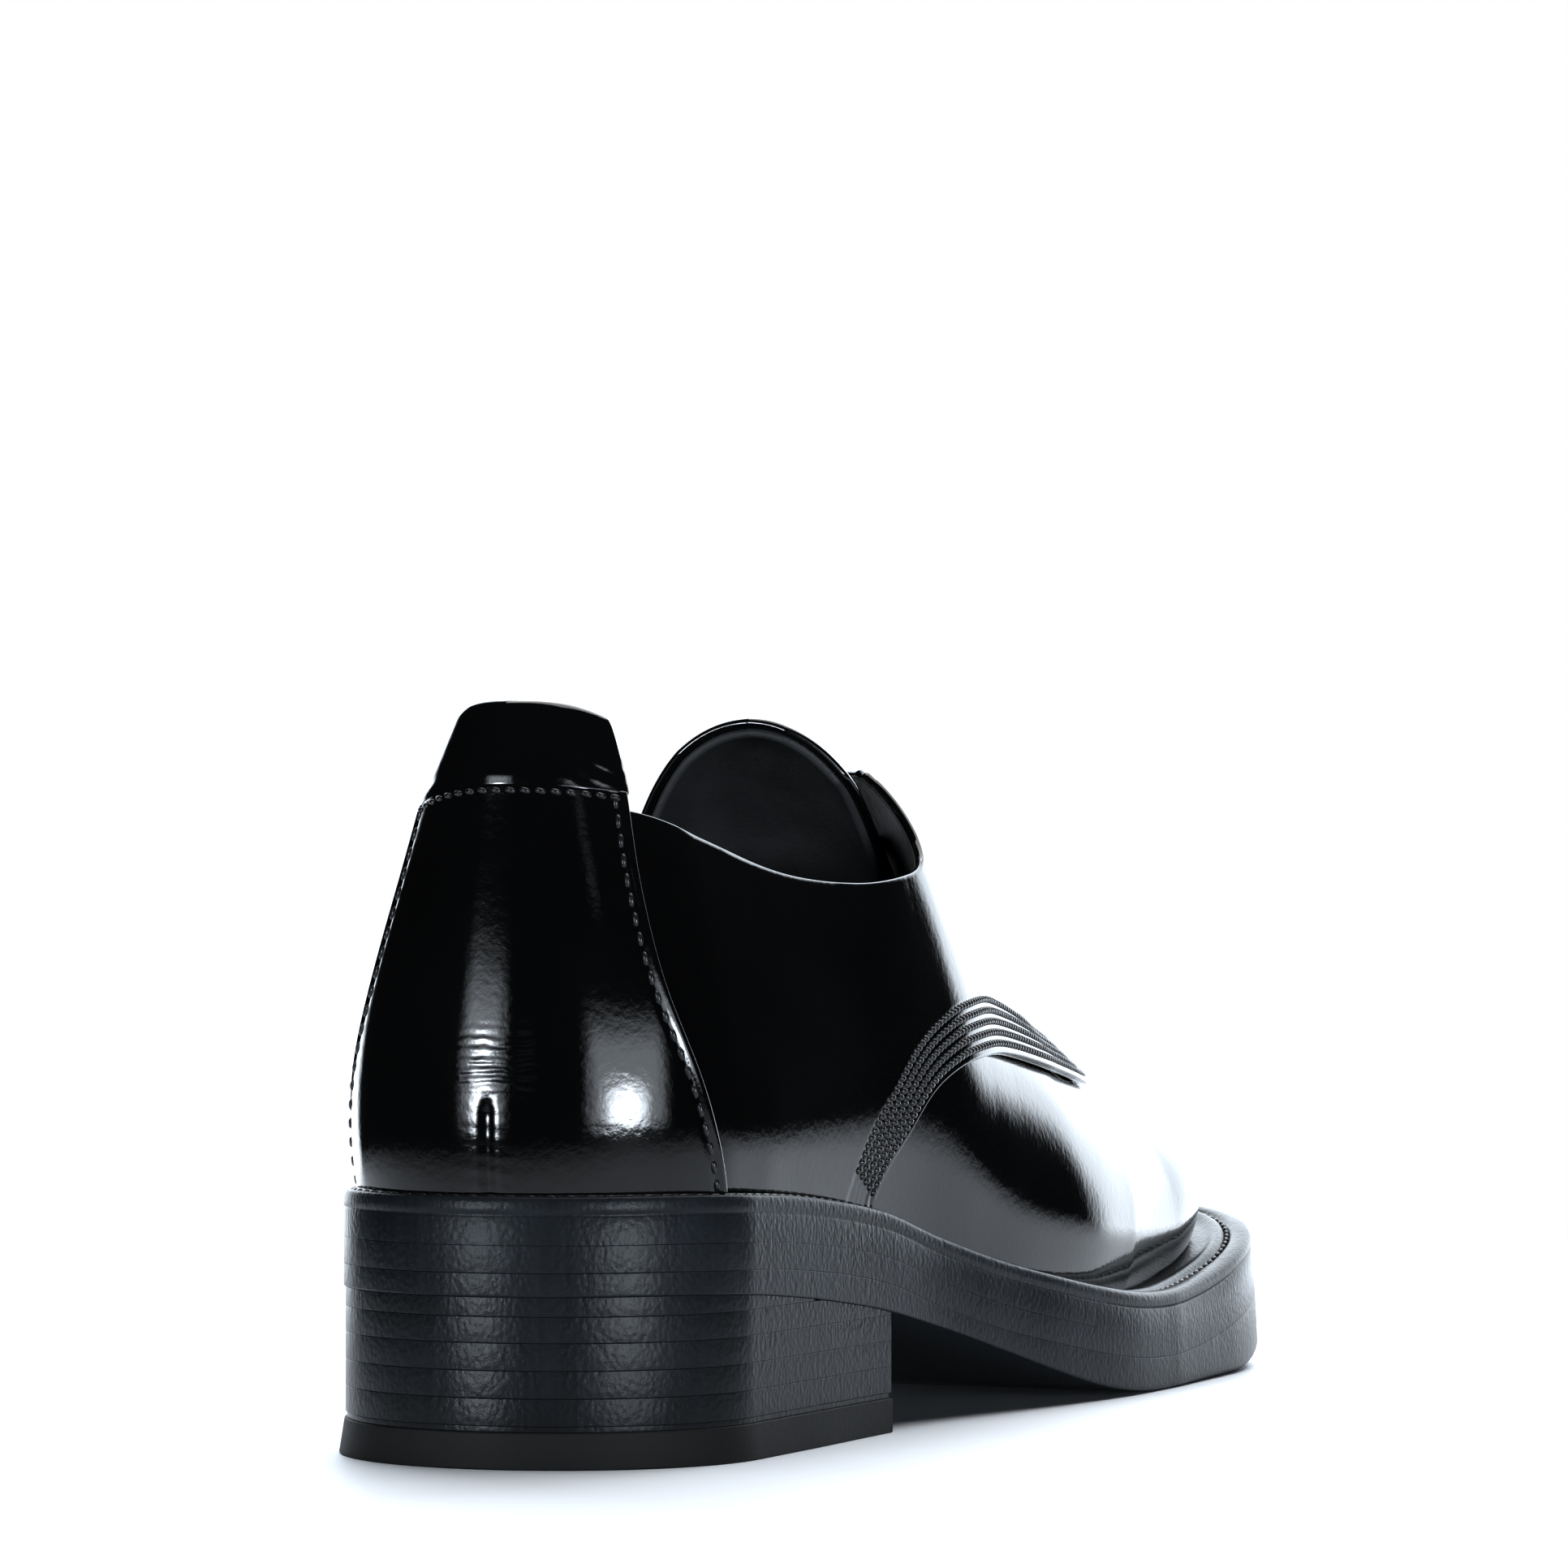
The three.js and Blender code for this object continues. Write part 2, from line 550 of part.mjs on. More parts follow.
// ---------------------------------------------------------------- back strap and heel tab
const TAB_EDGE = 0.107;         // half width of the tab and the strap's top, as an s value
const strapEdge = through([[0, 0.158], [0.25, 0.136], [0.5, 0.114], [0.75, 0.106], [1, TAB_EDGE]]);
const TAB_SEAM_Z = 101;
const TAB_TOP_Z = 114.5;
const TAB_THICKNESS = 2.8;
function rearPatch(rows, columns, low, high, edgeAt) {
  const points = [];
  for (let j = 0; j <= rows; j += 1) {
    for (let i = 0; i <= columns; i += 1) {
      const v = j / rows;
      const s = (2 * (i / columns) - 1) * edgeAt(v);
      points.push(upperPoint(s, low(s) + (high(s) - low(s)) * v));
    }
  }
  const triangles = [];
  for (let j = 0; j < rows; j += 1) {
    for (let i = 0; i < columns; i += 1) {
      const a = j * (columns + 1) + i;
      const b = a + columns + 1;
      triangles.push(a, a + 1, b + 1, a, b + 1, b);
    }
  }
  return geometryOf(points, triangles);
}
const backStrap = thicken(
  [rearPatch(9, 12, () => 0, (s) => tAtHeight(s, TAB_SEAM_Z), strapEdge)], STRAP_IN, STRAP_IN + LEATHER);
const tabEdge = (v) => TAB_EDGE * (1 - 0.18 * v ** 5);
const tabDrop = (s) => 7 * (Math.abs(s) / TAB_EDGE) ** 3.6;
const tabFoot = (s) => tAtHeight(s, TAB_SEAM_Z + 2 * FIT_GAP);
const tabTop = (s) => tAtHeight(s, TAB_TOP_Z - tabDrop(s));
const heelTab = thicken(
  [rearPatch(6, 12, tabFoot, tabTop, tabEdge)], STRAP_IN + LEATHER - TAB_THICKNESS, STRAP_IN + LEATHER);

// ---------------------------------------------------------------- tongue
function tongueSheet(halfWidth, topY) {
  const ys = [...range(10, TONGUE_HINGE_Y, topY + 11), ...[7, 4, 2, 0.8, 0].map((rise) => topY + rise)];
  const columns = ys.map((y) => {
    const spread = 0.55 + 0.45 * Math.min(1, (TONGUE_HINGE_Y - y) / 50);
    return [y, halfWidth * spread];
  });
  // the top corners are rounded, the inner one more than the outer one
  const shoulder = { 1: [2.5, 8], [-1]: [0.8, 13] };
  const side = (sign) => oriented(-sign, columns.map(([y, half]) => {
    const s = sAt(sign, y);
    const [start, run] = shoulder[sign];
    const rounded = half * Math.min(1, Math.sqrt((y - topY + start) / run));
    return [s, tAtCentre(s, rounded), 1];
  }));
  return [sheet(side(1), 4), sheet(side(-1), 4)];
}
const tongue = thicken(tongueSheet(TONGUE_HALF_WIDTH, TONGUE_TOP_Y), TONGUE_IN, TONGUE_OUT);
const TONGUE_LINING_OUT = TONGUE_IN - 2 * FIT_GAP;
const tongueLining = thicken(
  tongueSheet(TONGUE_HALF_WIDTH - 1, TONGUE_TOP_Y + 1.5), TONGUE_LINING_OUT - LINING, TONGUE_LINING_OUT);

// ---------------------------------------------------------------- eyelets and lace
const eyeletYs = range(EYELET_PAIRS - 1, along(190), along(128));
const EYELET_MARGIN = 6.8;      // eyelet centre, in from the facing edge
function eyeletPlace(side, y) {
  const s = sAt(side, y);
  return [s, tAtCentre(s, facingHalf(y) + EYELET_MARGIN)];
}
const barrelFoot = -LEATHER - FIT_GAP;
const flangeFoot = FIT_GAP;
const flangeTop = FIT_GAP + EYELET_FLANGE_THICKNESS;
function eyeletRing() {
  const profile = [
    [EYELET_BORE, barrelFoot], [EYELET_BARREL, barrelFoot], [EYELET_BARREL, flangeFoot],
    [EYELET_FLANGE, flangeFoot], [EYELET_FLANGE - 0.5, flangeTop], [EYELET_BORE, flangeTop],
    [EYELET_BORE, barrelFoot],
  ].map(([r, h]) => new THREE.Vector2(r, h));
  return new THREE.LatheGeometry(profile, 12);
}
const faceUp = (s, t) => (
  new THREE.Quaternion().setFromUnitVectors(new THREE.Vector3(0, 1, 0), upperNormal(s, t)));
const eyeletHole = (side, y) => {
  const [s, t] = eyeletPlace(side, y);
  const hole = new THREE.CylinderGeometry(EYELET_BARREL + FIT_GAP, EYELET_BARREL + FIT_GAP, 12, 12);
  hole.applyQuaternion(faceUp(s, t));
  const centre = upperPoint(s, t);
  hole.translate(centre.x, centre.y, centre.z);
  return hole;
};
const quarter = (side) => cutFrom(
  thicken([quarterSheet(side)], -LEATHER, 0), eyeletYs.map((y) => eyeletHole(side, y)));

// one cord: over the facings in straight bars, under them from each bar to the next, both ends tucked under
const laceOver = flangeTop + LACE_RADIUS + FIT_GAP;
const laceUnder = barrelFoot - LACE_RADIUS - FIT_GAP;
const LACE_TAIL = 9;
function laceRoute() {
  const route = [];
  const under = (side, y) => {
    const [s, t] = eyeletPlace(side, y);
    route.push(offsetPoint(s, t, laceUnder));
  };
  // through the eyelet of one side, from below to above or back
  const threadEyelet = (side, y, upward) => {
    const [s, t] = eyeletPlace(side, y);
    const depths = [laceUnder + 0.5, barrelFoot, 0, flangeTop + 0.4];
    for (const depth of upward ? depths : depths.reverse()) route.push(offsetPoint(s, t, depth));
  };
  // across the facings: over the leather to each facing edge, and level over the tongue between them
  const bar = (from, y) => {
    const over = (side, reach) => {
      const s = sAt(side, y);
      return offsetPoint(s, tAtCentre(s, facingHalf(y) + reach), laceOver);
    };
    const reaches = [EYELET_MARGIN - 2.6, EYELET_MARGIN / 2, 0.5];
    const near = reaches.map((reach) => over(from, reach));
    const far = reaches.reverse().map((reach) => over(-from, reach));
    const middle = near[2].clone().lerp(far[0], 0.5);
    middle.z += 0.8;
    route.push(...near, middle, ...far);
  };
  under(-1, eyeletYs[0] - LACE_TAIL);
  under(-1, eyeletYs[0] - LACE_TAIL / 2);
  let side = -1;
  eyeletYs.forEach((y, k) => {
    threadEyelet(side, y, true);
    bar(side, y);
    side = -side;
    threadEyelet(side, y, false);
    const next = k + 1 < eyeletYs.length ? eyeletYs[k + 1] : y + 1.5 * LACE_TAIL;
    under(side, y + (next - y) * 0.25);
    under(side, y + (next - y) * 0.75);
  });
  return new THREE.CatmullRomCurve3(route, false, 'centripetal');
}
const laceSides = 8;
const laceSection = new THREE.Shape(range(laceSides, 0, 2 * Math.PI).slice(1).map((angle) => (
  new THREE.Vector2(LACE_RADIUS * Math.cos(angle), LACE_RADIUS * Math.sin(angle)))));
const lace = new THREE.ExtrudeGeometry(
  laceSection, { steps: 112, bevelEnabled: false, extrudePath: laceRoute() });

// ---------------------------------------------------------------- finishes
const finish = (color, roughness, metalness = 0) => () => (
  new THREE.MeshStandardMaterial({ color, roughness, metalness }));
const patent = finish(0x0a0a0b, 0.08);
const edgeLeather = finish(0x25272a, 0.45);
const rubber = finish(0x1a1b1d, 0.75);
const liningLeather = finish(0x1d1d1e, 0.6);
const board = finish(0x8a6f4d, 0.85);
const cork = finish(0x9c7a52, 0.9);
const steel = finish(0x9a9ca0, 0.35, 1);
const cord = finish(0x101011, 0.5);

// ---------------------------------------------------------------- assembly
const shoe = new THREE.Group();
const lengthFromHeel = new THREE.Group();
shoe.add(lengthFromHeel);

function add(name, geometry, material) {
  const mesh = new THREE.Mesh(geometry, material());
  mesh.name = name;
  lengthFromHeel.add(mesh);
  return mesh;
}

add('heel_top_piece', heelTopPiece, rubber);
add('heel_band', heelBand, edgeLeather);
for (let k = 0; k < FULL_LIFTS; k += 1) add(`heel_lift_${k + 1}`, nailed(fullLift(k)), edgeLeather);
add('heel_lift_cut', nailed(cutLift), edgeLeather);
add('heel_wedge', nailed(heelWedge), edgeLeather);
add('outsole', nailed(outsole), rubber);
add('midsole', midsole, edgeLeather);
add('welt', welt, edgeLeather);
nailPlaces.forEach((place, k) => {
  add(`heel_nail_${k + 1}`, nailBar(place, NAIL_RADIUS, liftFloor(0) + 1.5, nailTop(place)), steel);
});
add('shank', shankBar(0), steel);
add('filler', cutFrom(filler, [shankBar(FIT_GAP)]), cork);
add('insole_board', insoleBoard, board);
add('sock_liner', sockLiner, liningLeather);
add('heel_counter', heelCounter, board);
add('toe_puff', toePuff, board);
add('quarter_lining', quarterLining, liningLeather);
add('vamp_lining', vampLining, liningLeather);
add('vamp', vamp, patent);
add('quarter_outer', quarter(1), patent);
add('quarter_inner', quarter(-1), patent);
add('back_strap', backStrap, patent);
add('heel_tab', heelTab, patent);
add('tongue', tongue, patent);
add('tongue_lining', tongueLining, liningLeather);
for (const [side, label] of [[1, 'outer'], [-1, 'inner']]) {
  eyeletYs.forEach((y, k) => {
    const [s, t] = eyeletPlace(side, y);
    const ring = add(`eyelet_${label}_${k + 1}`, eyeletRing(), steel);
    ring.position.copy(upperPoint(s, t));
    ring.quaternion.copy(faceUp(s, t));
  });
}
add('lace', lace, cord);

// the origin is under the middle of the whole shoe
const extent = new THREE.Box3().setFromObject(shoe);
lengthFromHeel.position.x = -(extent.min.x + extent.max.x) / 2;
lengthFromHeel.position.y = -(extent.min.y + extent.max.y) / 2;

export default shoe;
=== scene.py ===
"""A black patent-leather derby shoe on a pale studio floor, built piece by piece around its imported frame.

Lengths are millimetres measured along the shoe from the back of its heel; place() turns them into the
frame's metres.
"""
import math

import bmesh
import bpy
import numpy as np
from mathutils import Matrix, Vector
from mathutils.bvhtree import BVHTree


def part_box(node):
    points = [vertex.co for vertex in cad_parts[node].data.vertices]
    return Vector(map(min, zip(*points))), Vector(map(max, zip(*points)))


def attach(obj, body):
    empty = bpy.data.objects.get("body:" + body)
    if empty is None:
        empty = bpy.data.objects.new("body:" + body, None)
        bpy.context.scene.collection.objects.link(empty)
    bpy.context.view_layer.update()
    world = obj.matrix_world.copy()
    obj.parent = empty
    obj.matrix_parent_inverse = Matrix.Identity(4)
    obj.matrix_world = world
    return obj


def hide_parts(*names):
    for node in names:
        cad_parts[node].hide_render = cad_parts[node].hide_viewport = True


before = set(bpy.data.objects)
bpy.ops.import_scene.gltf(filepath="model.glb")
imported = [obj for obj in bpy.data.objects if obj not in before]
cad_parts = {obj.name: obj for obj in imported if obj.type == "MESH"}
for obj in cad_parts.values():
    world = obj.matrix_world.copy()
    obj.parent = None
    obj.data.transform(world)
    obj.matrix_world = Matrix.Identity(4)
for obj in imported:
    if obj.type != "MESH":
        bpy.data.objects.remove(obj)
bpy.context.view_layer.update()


# ---------------------------------------------------------------- stacked heel
# A block heel is a stack of leather lifts, glued and nailed, trimmed flush and dressed with charcoal ink.
# Three lifts are full, a fourth is cut down toward the breast, and a wedge levels the curved seat above it.
MM = 0.001
LENGTH = 276
HEEL_ROUND = 32
TOE_ROUND = 62
TOE_SQUARENESS = 2.4
BREAST_Y = 82
SOLE_INSET = 0.7

# a nail's place in the stack ties the frame to these lengths
NAIL_X, NAIL_Y = -18, 22
nail_low, nail_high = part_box("heel_nail_1")
ORIGIN = np.array([(nail_low.x + nail_high.x) / 2 - NAIL_X * MM, (nail_low.y + nail_high.y) / 2 - NAIL_Y * MM, 0])


def place(points):
    return np.asarray(points, float) * MM + ORIGIN


def through(*points):
    """A smooth curve through points (y, value), level past both ends."""
    ys, values = np.array(points, float).T
    slopes = np.gradient(values, ys)
    slopes[1:-1] = (values[2:] - values[:-2]) / (ys[2:] - ys[:-2])

    def curve(y):
        y = np.clip(np.asarray(y, float), ys[0], ys[-1])
        i = np.clip(np.searchsorted(ys, y, side="right") - 1, 0, len(ys) - 2)
        span = ys[i + 1] - ys[i]
        u = (y - ys[i]) / span
        start = (1 + 2 * u) * (1 - u) ** 2 * values[i] + u * (1 - u) ** 2 * span * slopes[i]
        return start + u * u * (3 - 2 * u) * values[i + 1] + u * u * (u - 1) * span * slopes[i + 1]

    return curve


side_outer = through((HEEL_ROUND, 34), (55, 35), (80, 36.3), (100, 38), (120, 41.4), (143, 45.8), (165, 48.8),
                     (187, 50))
side_inner = through((HEEL_ROUND, 34), (55, 34.3), (80, 32.5), (103, 31.2), (125, 33.5), (148, 39), (170, 44.5),
                     (195, 47.5))
centre_line = through((HEEL_ROUND, -2.2), (150, -2.2), (LENGTH - TOE_ROUND, -2.8), (LENGTH, -4))


def edge_x(side, y, inset):
    half = np.where(side > 0, side_outer(y), side_inner(y)) - inset
    toe_start = LENGTH - TOE_ROUND
    back = np.clip((HEEL_ROUND - y) / (HEEL_ROUND - inset), 0, 1)
    far = np.clip((y - toe_start) / (TOE_ROUND - inset), 0, 1)
    ends = np.sqrt(1 - back**2) * (1 - far**TOE_SQUARENESS) ** (1 / TOE_SQUARENESS)
    return centre_line(y) + side * half * ends


def plan_ring(inset, front=None):
    """Points once round the sole at one inset: the outer side from heel to front, then the inner side back."""
    inset_at = inset if callable(inset) else lambda y: inset + 0 * np.asarray(y, float)
    turn = np.linspace(0.02, 1, 36) * math.pi / 2
    rear = HEEL_ROUND - (HEEL_ROUND - inset_at(0)) * np.cos(turn)
    if front:
        ys = np.concatenate([rear, np.linspace(HEEL_ROUND, front, 40)[1:]])
    else:
        toe_start = LENGTH - TOE_ROUND
        turn = np.linspace(0, 0.985, 60) * math.pi / 2
        toe = toe_start + (TOE_ROUND - inset_at(LENGTH)) * np.sin(turn) ** (2 / TOE_SQUARENESS)
        ys = np.concatenate([rear, np.linspace(HEEL_ROUND, toe_start, 120)[1:], toe[1:]])
    insets = inset_at(ys)
    outer = np.stack([edge_x(1, ys, insets), ys], -1)
    inner = np.stack([edge_x(-1, ys, insets), ys], -1)
    return np.concatenate([outer, inner[::-1]])


def make_mesh(name, points, faces, material, sharp=35):
    """A mesh piece in the frame's metres, smooth except where it turns by more than the sharp angle."""
    mesh = bpy.data.meshes.new(name)
    mesh.from_pydata(place(points).tolist(), [], [tuple(int(i) for i in face) for face in faces])
    work = bmesh.new()
    work.from_mesh(mesh)
    bmesh.ops.remove_doubles(work, verts=work.verts, dist=0.004 * MM)
    bmesh.ops.recalc_face_normals(work, faces=work.faces)
    work.to_mesh(mesh)
    work.free()
    mesh.polygons.foreach_set("use_smooth", [True] * len(mesh.polygons))
    mesh.set_sharp_from_angle(angle=math.radians(sharp))
    mesh.materials.append(material)
    piece = bpy.data.objects.new(name, mesh)
    bpy.context.scene.collection.objects.link(piece)
    return piece


def loft_faces(rings, count, closed):
    """Quads between neighbouring rings; open stacks of rings get a strip across each end."""
    faces = []
    for r in range(rings if closed else rings - 1):
        a, b = r * count, (r + 1) % rings * count
        faces += [(a + i, a + (i + 1) % count, b + (i + 1) % count, b + i) for i in range(count)]
    if not closed:
        for start in (0, (rings - 1) * count):
            faces += [(start + i, start + i + 1, start + count - 2 - i, start + count - 1 - i)
                      for i in range(count // 2 - 1)]
    return faces


def slab(name, material, inset, floor, roof, front=None, edge=0.12, foot_edge=None):
    """A layer cut to the sole's plan, with its edges eased by hand sanding.

    inset is a number, or a function of y and of the share of the way up the layer.
    """
    wall = inset if callable(inset) else lambda y, share: inset + 0 * y
    foot_edge = foot_edge or level(edge)
    rings = []
    for rising in (False, True):
        radius = level(edge) if rising else foot_edge
        angles = np.radians([0, 20, 40, 60, 78, 90])
        for angle in angles[::-1] if rising else angles:
            plan = plan_ring(lambda y: wall(y, rising + 0 * y) + radius(y) * (1 - math.sin(angle)), front)
            low, high = floor(plan[:, 1]), roof(plan[:, 1])
            lift = np.minimum(radius(plan[:, 1]), (high - low) / 2) * (1 - math.cos(angle))
            rings.append(np.column_stack([plan, high - lift if rising else low + lift]))
    count = len(rings[0])
    return make_mesh(name, np.concatenate(rings), loft_faces(len(rings), count, False), material)


def level(z):
    return lambda y: z + 0 * y


def fasten(piece, node, body="shoe"):
    """Hangs a piece on a body of the frame, in the place of one node, whose own mesh it hides."""
    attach(piece, body)
    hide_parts(node)


class Wire:
    """A shader value that takes part in arithmetic; each operator adds its Math node."""

    def __init__(self, tree, socket):
        self.tree = tree
        self.socket = socket

    def math(self, operation, other=None, swap=False):
        node = self.tree.nodes.new("ShaderNodeMath")
        node.operation = operation
        for value, socket in zip((other, self) if swap else (self, other), node.inputs):
            if isinstance(value, Wire):
                self.tree.links.new(value.socket, socket)
            elif value is not None:
                socket.default_value = value
        return Wire(self.tree, node.outputs[0])

    def __add__(self, other):
        return self.math("ADD", other)

    def __radd__(self, other):
        return self.math("ADD", other, swap=True)

    def __sub__(self, other):
        return self.math("SUBTRACT", other)

    def __rsub__(self, other):
        return self.math("SUBTRACT", other, swap=True)

    def __mul__(self, other):
        return self.math("MULTIPLY", other)

    def __rmul__(self, other):
        return self.math("MULTIPLY", other, swap=True)


class Nodes:
    """Adds nodes to one tree."""

    def __init__(self, tree, coordinates):
        self.tree = tree
        self.here = self.node("ShaderNodeTexCoord", output=coordinates)

    def node(self, kind, settings=None, output=0, **inputs):
        node = self.tree.nodes.new(kind)
        for setting, value in (settings or {}).items():
            setattr(node, setting, value)
        for socket, value in inputs.items():
            self.connect(node.inputs[int(socket[1:]) if socket[0] == "_" else socket.replace("_", " ")], value)
        return Wire(self.tree, node.outputs[output])

    def connect(self, socket, value):
        if isinstance(value, Wire):
            self.tree.links.new(value.socket, socket)
        else:
            socket.default_value = value

    def band(self, value, low, high):
        """0 below low, 1 above high, smooth between."""
        return self.node("ShaderNodeMapRange", {"interpolation_type": "SMOOTHSTEP"}, Value=value, From_Min=low,
                         From_Max=high)

    def tint(self, factor, dark, light):
        """Between two colours; either may be a wire."""
        dark, light = (colour if isinstance(colour, Wire) else (*colour, 1) for colour in (dark, light))
        return self.node("ShaderNodeMix", {"data_type": "RGBA"}, 2, _0=factor, _6=dark, _7=light)

    def split(self):
        node = self.tree.nodes.new("ShaderNodeSeparateXYZ")
        self.connect(node.inputs[0], self.here)
        return [Wire(self.tree, output) for output in node.outputs]


class Finish(Nodes):
    """One surface finish: a material with a single Principled shader, and the nodes that vary it."""

    def __init__(self, name, **shader):
        self.material = bpy.data.materials.new(name)
        self.material.use_nodes = True
        super().__init__(self.material.node_tree, "Object")
        self.shader = self.tree.nodes["Principled BSDF"]
        self.set(**shader)

    def set(self, **inputs):
        for socket, value in inputs.items():
            self.connect(self.shader.inputs[socket.replace("_", " ")], value)

    def noise(self, scale, detail=3, roughness=0.5, stretch=(1, 1, 1)):
        """Noise with grains of 1/scale metres, drawn out along an axis by a small stretch."""
        spot = self.node("ShaderNodeMapping", Vector=self.here, Scale=stretch)
        return self.node("ShaderNodeTexNoise", Vector=spot, Scale=scale, Detail=detail, Roughness=roughness)

    def cells(self, scale, feature="F1", stretch=(1, 1, 1)):
        spot = self.node("ShaderNodeMapping", Vector=self.here, Scale=stretch)
        return self.node("ShaderNodeTexVoronoi", {"feature": feature}, "Distance", Vector=spot, Scale=scale)

    def emboss(self, height, depth):
        """Raises the surface by height times depth, in metres."""
        self.set(Normal=self.node("ShaderNodeBump", Height=height, Distance=depth, Strength=1))


def dressed_edge(name, dark, light, roughness, grain, depth):
    """Trimmed leather edge under ink and wax: pebbled grain, fine upright knife marks, worn sheen."""
    finish = Finish(name, IOR=1.26)
    pebble = finish.cells(grain, "SMOOTH_F1", (1, 1, 0.8))
    pores = finish.noise(grain * 2.6, 2)
    knife = finish.noise(900, 2, 0.6, (1, 1, 0.06))
    cloud = finish.noise(45, 3)
    finish.set(Base_Color=finish.tint(finish.band(cloud * 0.7 + knife * 0.3, 0.3, 0.75), dark, light))
    finish.set(Roughness=roughness - 0.05 + 0.16 * (cloud - 0.5) + 0.10 * knife)
    finish.emboss(pebble * 0.8 + pores * 0.35 + knife * 0.3, depth)
    return finish.material


stack_edge = dressed_edge("stack_edge", (0.0075, 0.0085, 0.010), (0.015, 0.017, 0.020), 0.30, 1300, 0.00008)
HEEL_INSET = 1.0
TOP_PIECE_HEIGHT = 5.5
BAND_TOP = 6.4
LIFT_HEIGHT = 4.1
CUT_LIFT_TOP = 22.6

sole_curve = through((0, 25.5), (20, 25.4), (45, 23.7), (68, 21.2), (BREAST_Y, 19.2), (103, 15), (120, 10.8),
                     (140, 5.6), (153, 2.7), (166, 0.8), (180, 0), (224, 0), (240, 1.3), (256, 3.8), (LENGTH, 7.5))


def sole_floor(y):
    return np.maximum(0, sole_curve(y))


for k in range(3):
    lift_floor = BAND_TOP + k * LIFT_HEIGHT
    lift = slab(f"lift_{k + 1}", stack_edge, HEEL_INSET, level(lift_floor), level(lift_floor + LIFT_HEIGHT), BREAST_Y)
    fasten(lift, f"heel_lift_{k + 1}")

cut_lift_floor = BAND_TOP + 3 * LIFT_HEIGHT
cut_lift = slab("cut_lift", stack_edge, HEEL_INSET, level(cut_lift_floor),
                lambda y: np.clip(sole_floor(y), cut_lift_floor + 0.1, CUT_LIFT_TOP), BREAST_Y)
fasten(cut_lift, "heel_lift_cut")

heel_wedge = slab("seat_wedge", stack_edge, HEEL_INSET, level(CUT_LIFT_TOP),
                  lambda y: np.maximum(sole_floor(y), CUT_LIFT_TOP + 0.1), 53)
fasten(heel_wedge, "heel_wedge")


# ---------------------------------------------------------------- rubber top piece and its band
# The walking face is a moulded rubber top piece, nailed on last and left a little proud of the stack.
# A thin rand between it and the first lift makes the fine line above the rubber.
rubber = Finish("top_piece_rubber", IOR=1.38)
mould = rubber.noise(1300, 4, 0.6)
scuff = rubber.noise(60, 3)
rubber.set(Base_Color=rubber.tint(rubber.band(scuff, 0.3, 0.8), (0.006, 0.0063, 0.0068), (0.012, 0.0125, 0.0135)))
rubber.set(Roughness=0.52 + 0.22 * scuff)
rubber.emboss(mould, 0.00005)

top_piece = slab("rubber_top_piece", rubber.material, lambda y, share: HEEL_INSET - 0.15 - 0.75 * (1 - share)
                 * np.clip((BREAST_Y - y) / 30, 0, 1), level(0), level(TOP_PIECE_HEIGHT), BREAST_Y + 0.2, 0.3)
fasten(top_piece, "heel_top_piece")

rand_line = slab("heel_rand", stack_edge, HEEL_INSET + 0.25, level(TOP_PIECE_HEIGHT), level(BAND_TOP),
                 BREAST_Y - 0.3, 0.1)
fasten(rand_line, "heel_band")


# ---------------------------------------------------------------- outsole and midsole
# Two full-length layers of stiff leather, cemented and trimmed together with the welt. They drop from the
# heel through the waist to the flat under the ball, and spring up again at the toe.
welt_top = through((0, 40.3), (20, 40.2), (50, 38.7), (80, 35.1), (100, 30.2), (120, 25.4), (140, 21.6),
                   (155, 19.2), (170, 17.5), (185, 17), (200, 17.9), (215, 19.8), (230, 22.4), (250, 25.8),
                   (LENGTH, 28.8))
WELT_HEIGHT = 7.1
MIDSOLE = 4.15


def midsole_top(y):
    return welt_top(y) - WELT_HEIGHT


def outsole_top(y):
    return midsole_top(y) - MIDSOLE


sole_edge = dressed_edge("sole_edge", (0.0085, 0.010, 0.012), (0.017, 0.020, 0.024), 0.32, 1300, 0.00008)
# the wall stands out a little more toward the ground at the toe, and its bottom corner is sanded round
flare = through((150, 0), (200, 0.6), (240, 1.3), (LENGTH, 1.6))
bottom_corner = through((0, 0.3), (120, 0.4), (180, 1.0), (230, 2.6), (LENGTH, 3.2))
outsole = slab("outsole_layer", sole_edge, lambda y, share: SOLE_INSET - flare(y) * (1 - 0.3 * share), sole_floor,
               outsole_top, foot_edge=bottom_corner)
fasten(outsole, "outsole")

midsole = slab("midsole_layer", sole_edge, lambda y, share: SOLE_INSET - flare(y) * (0.7 - 0.4 * share), outsole_top,
               midsole_top)
fasten(midsole, "midsole")


# ---------------------------------------------------------------- welt
# A storm welt runs right round: a rounded outer lip over a fine scored line, a channel that holds the
# sole stitching, and an inner ridge that turns up against the upper.
feather_inset = through((0, 3.4), (80, 3.8), (130, 5), (170, 7.5), (200, 9), (240, 9), (LENGTH, 8.5))
# share of the way in from the edge to the upper, and rise above the welt's top
WELT_SECTION = [
    (0, -WELT_HEIGHT), (0, -3.1), (0.02, -2.9), (0.045, -2.65), (0.02, -2.4), (-0.01, -2.2), (-0.015, -1.5),
    (0.0, -0.8), (0.045, -0.28), (0.12, 0.0), (0.22, 0.1), (0.33, 0.05), (0.4, -0.2), (0.44, -0.75),
    (0.5, -0.95), (0.56, -0.75), (0.6, -0.15), (0.66, 0.2), (0.73, 0.3), (0.8, 0.1), (0.88, -0.5),
    (0.96, -0.9), (1.05, -0.9), (1.6, -0.6), (1.75, -WELT_HEIGHT)]
CHANNEL_SHARE, CHANNEL_RISE = 0.5, -0.95


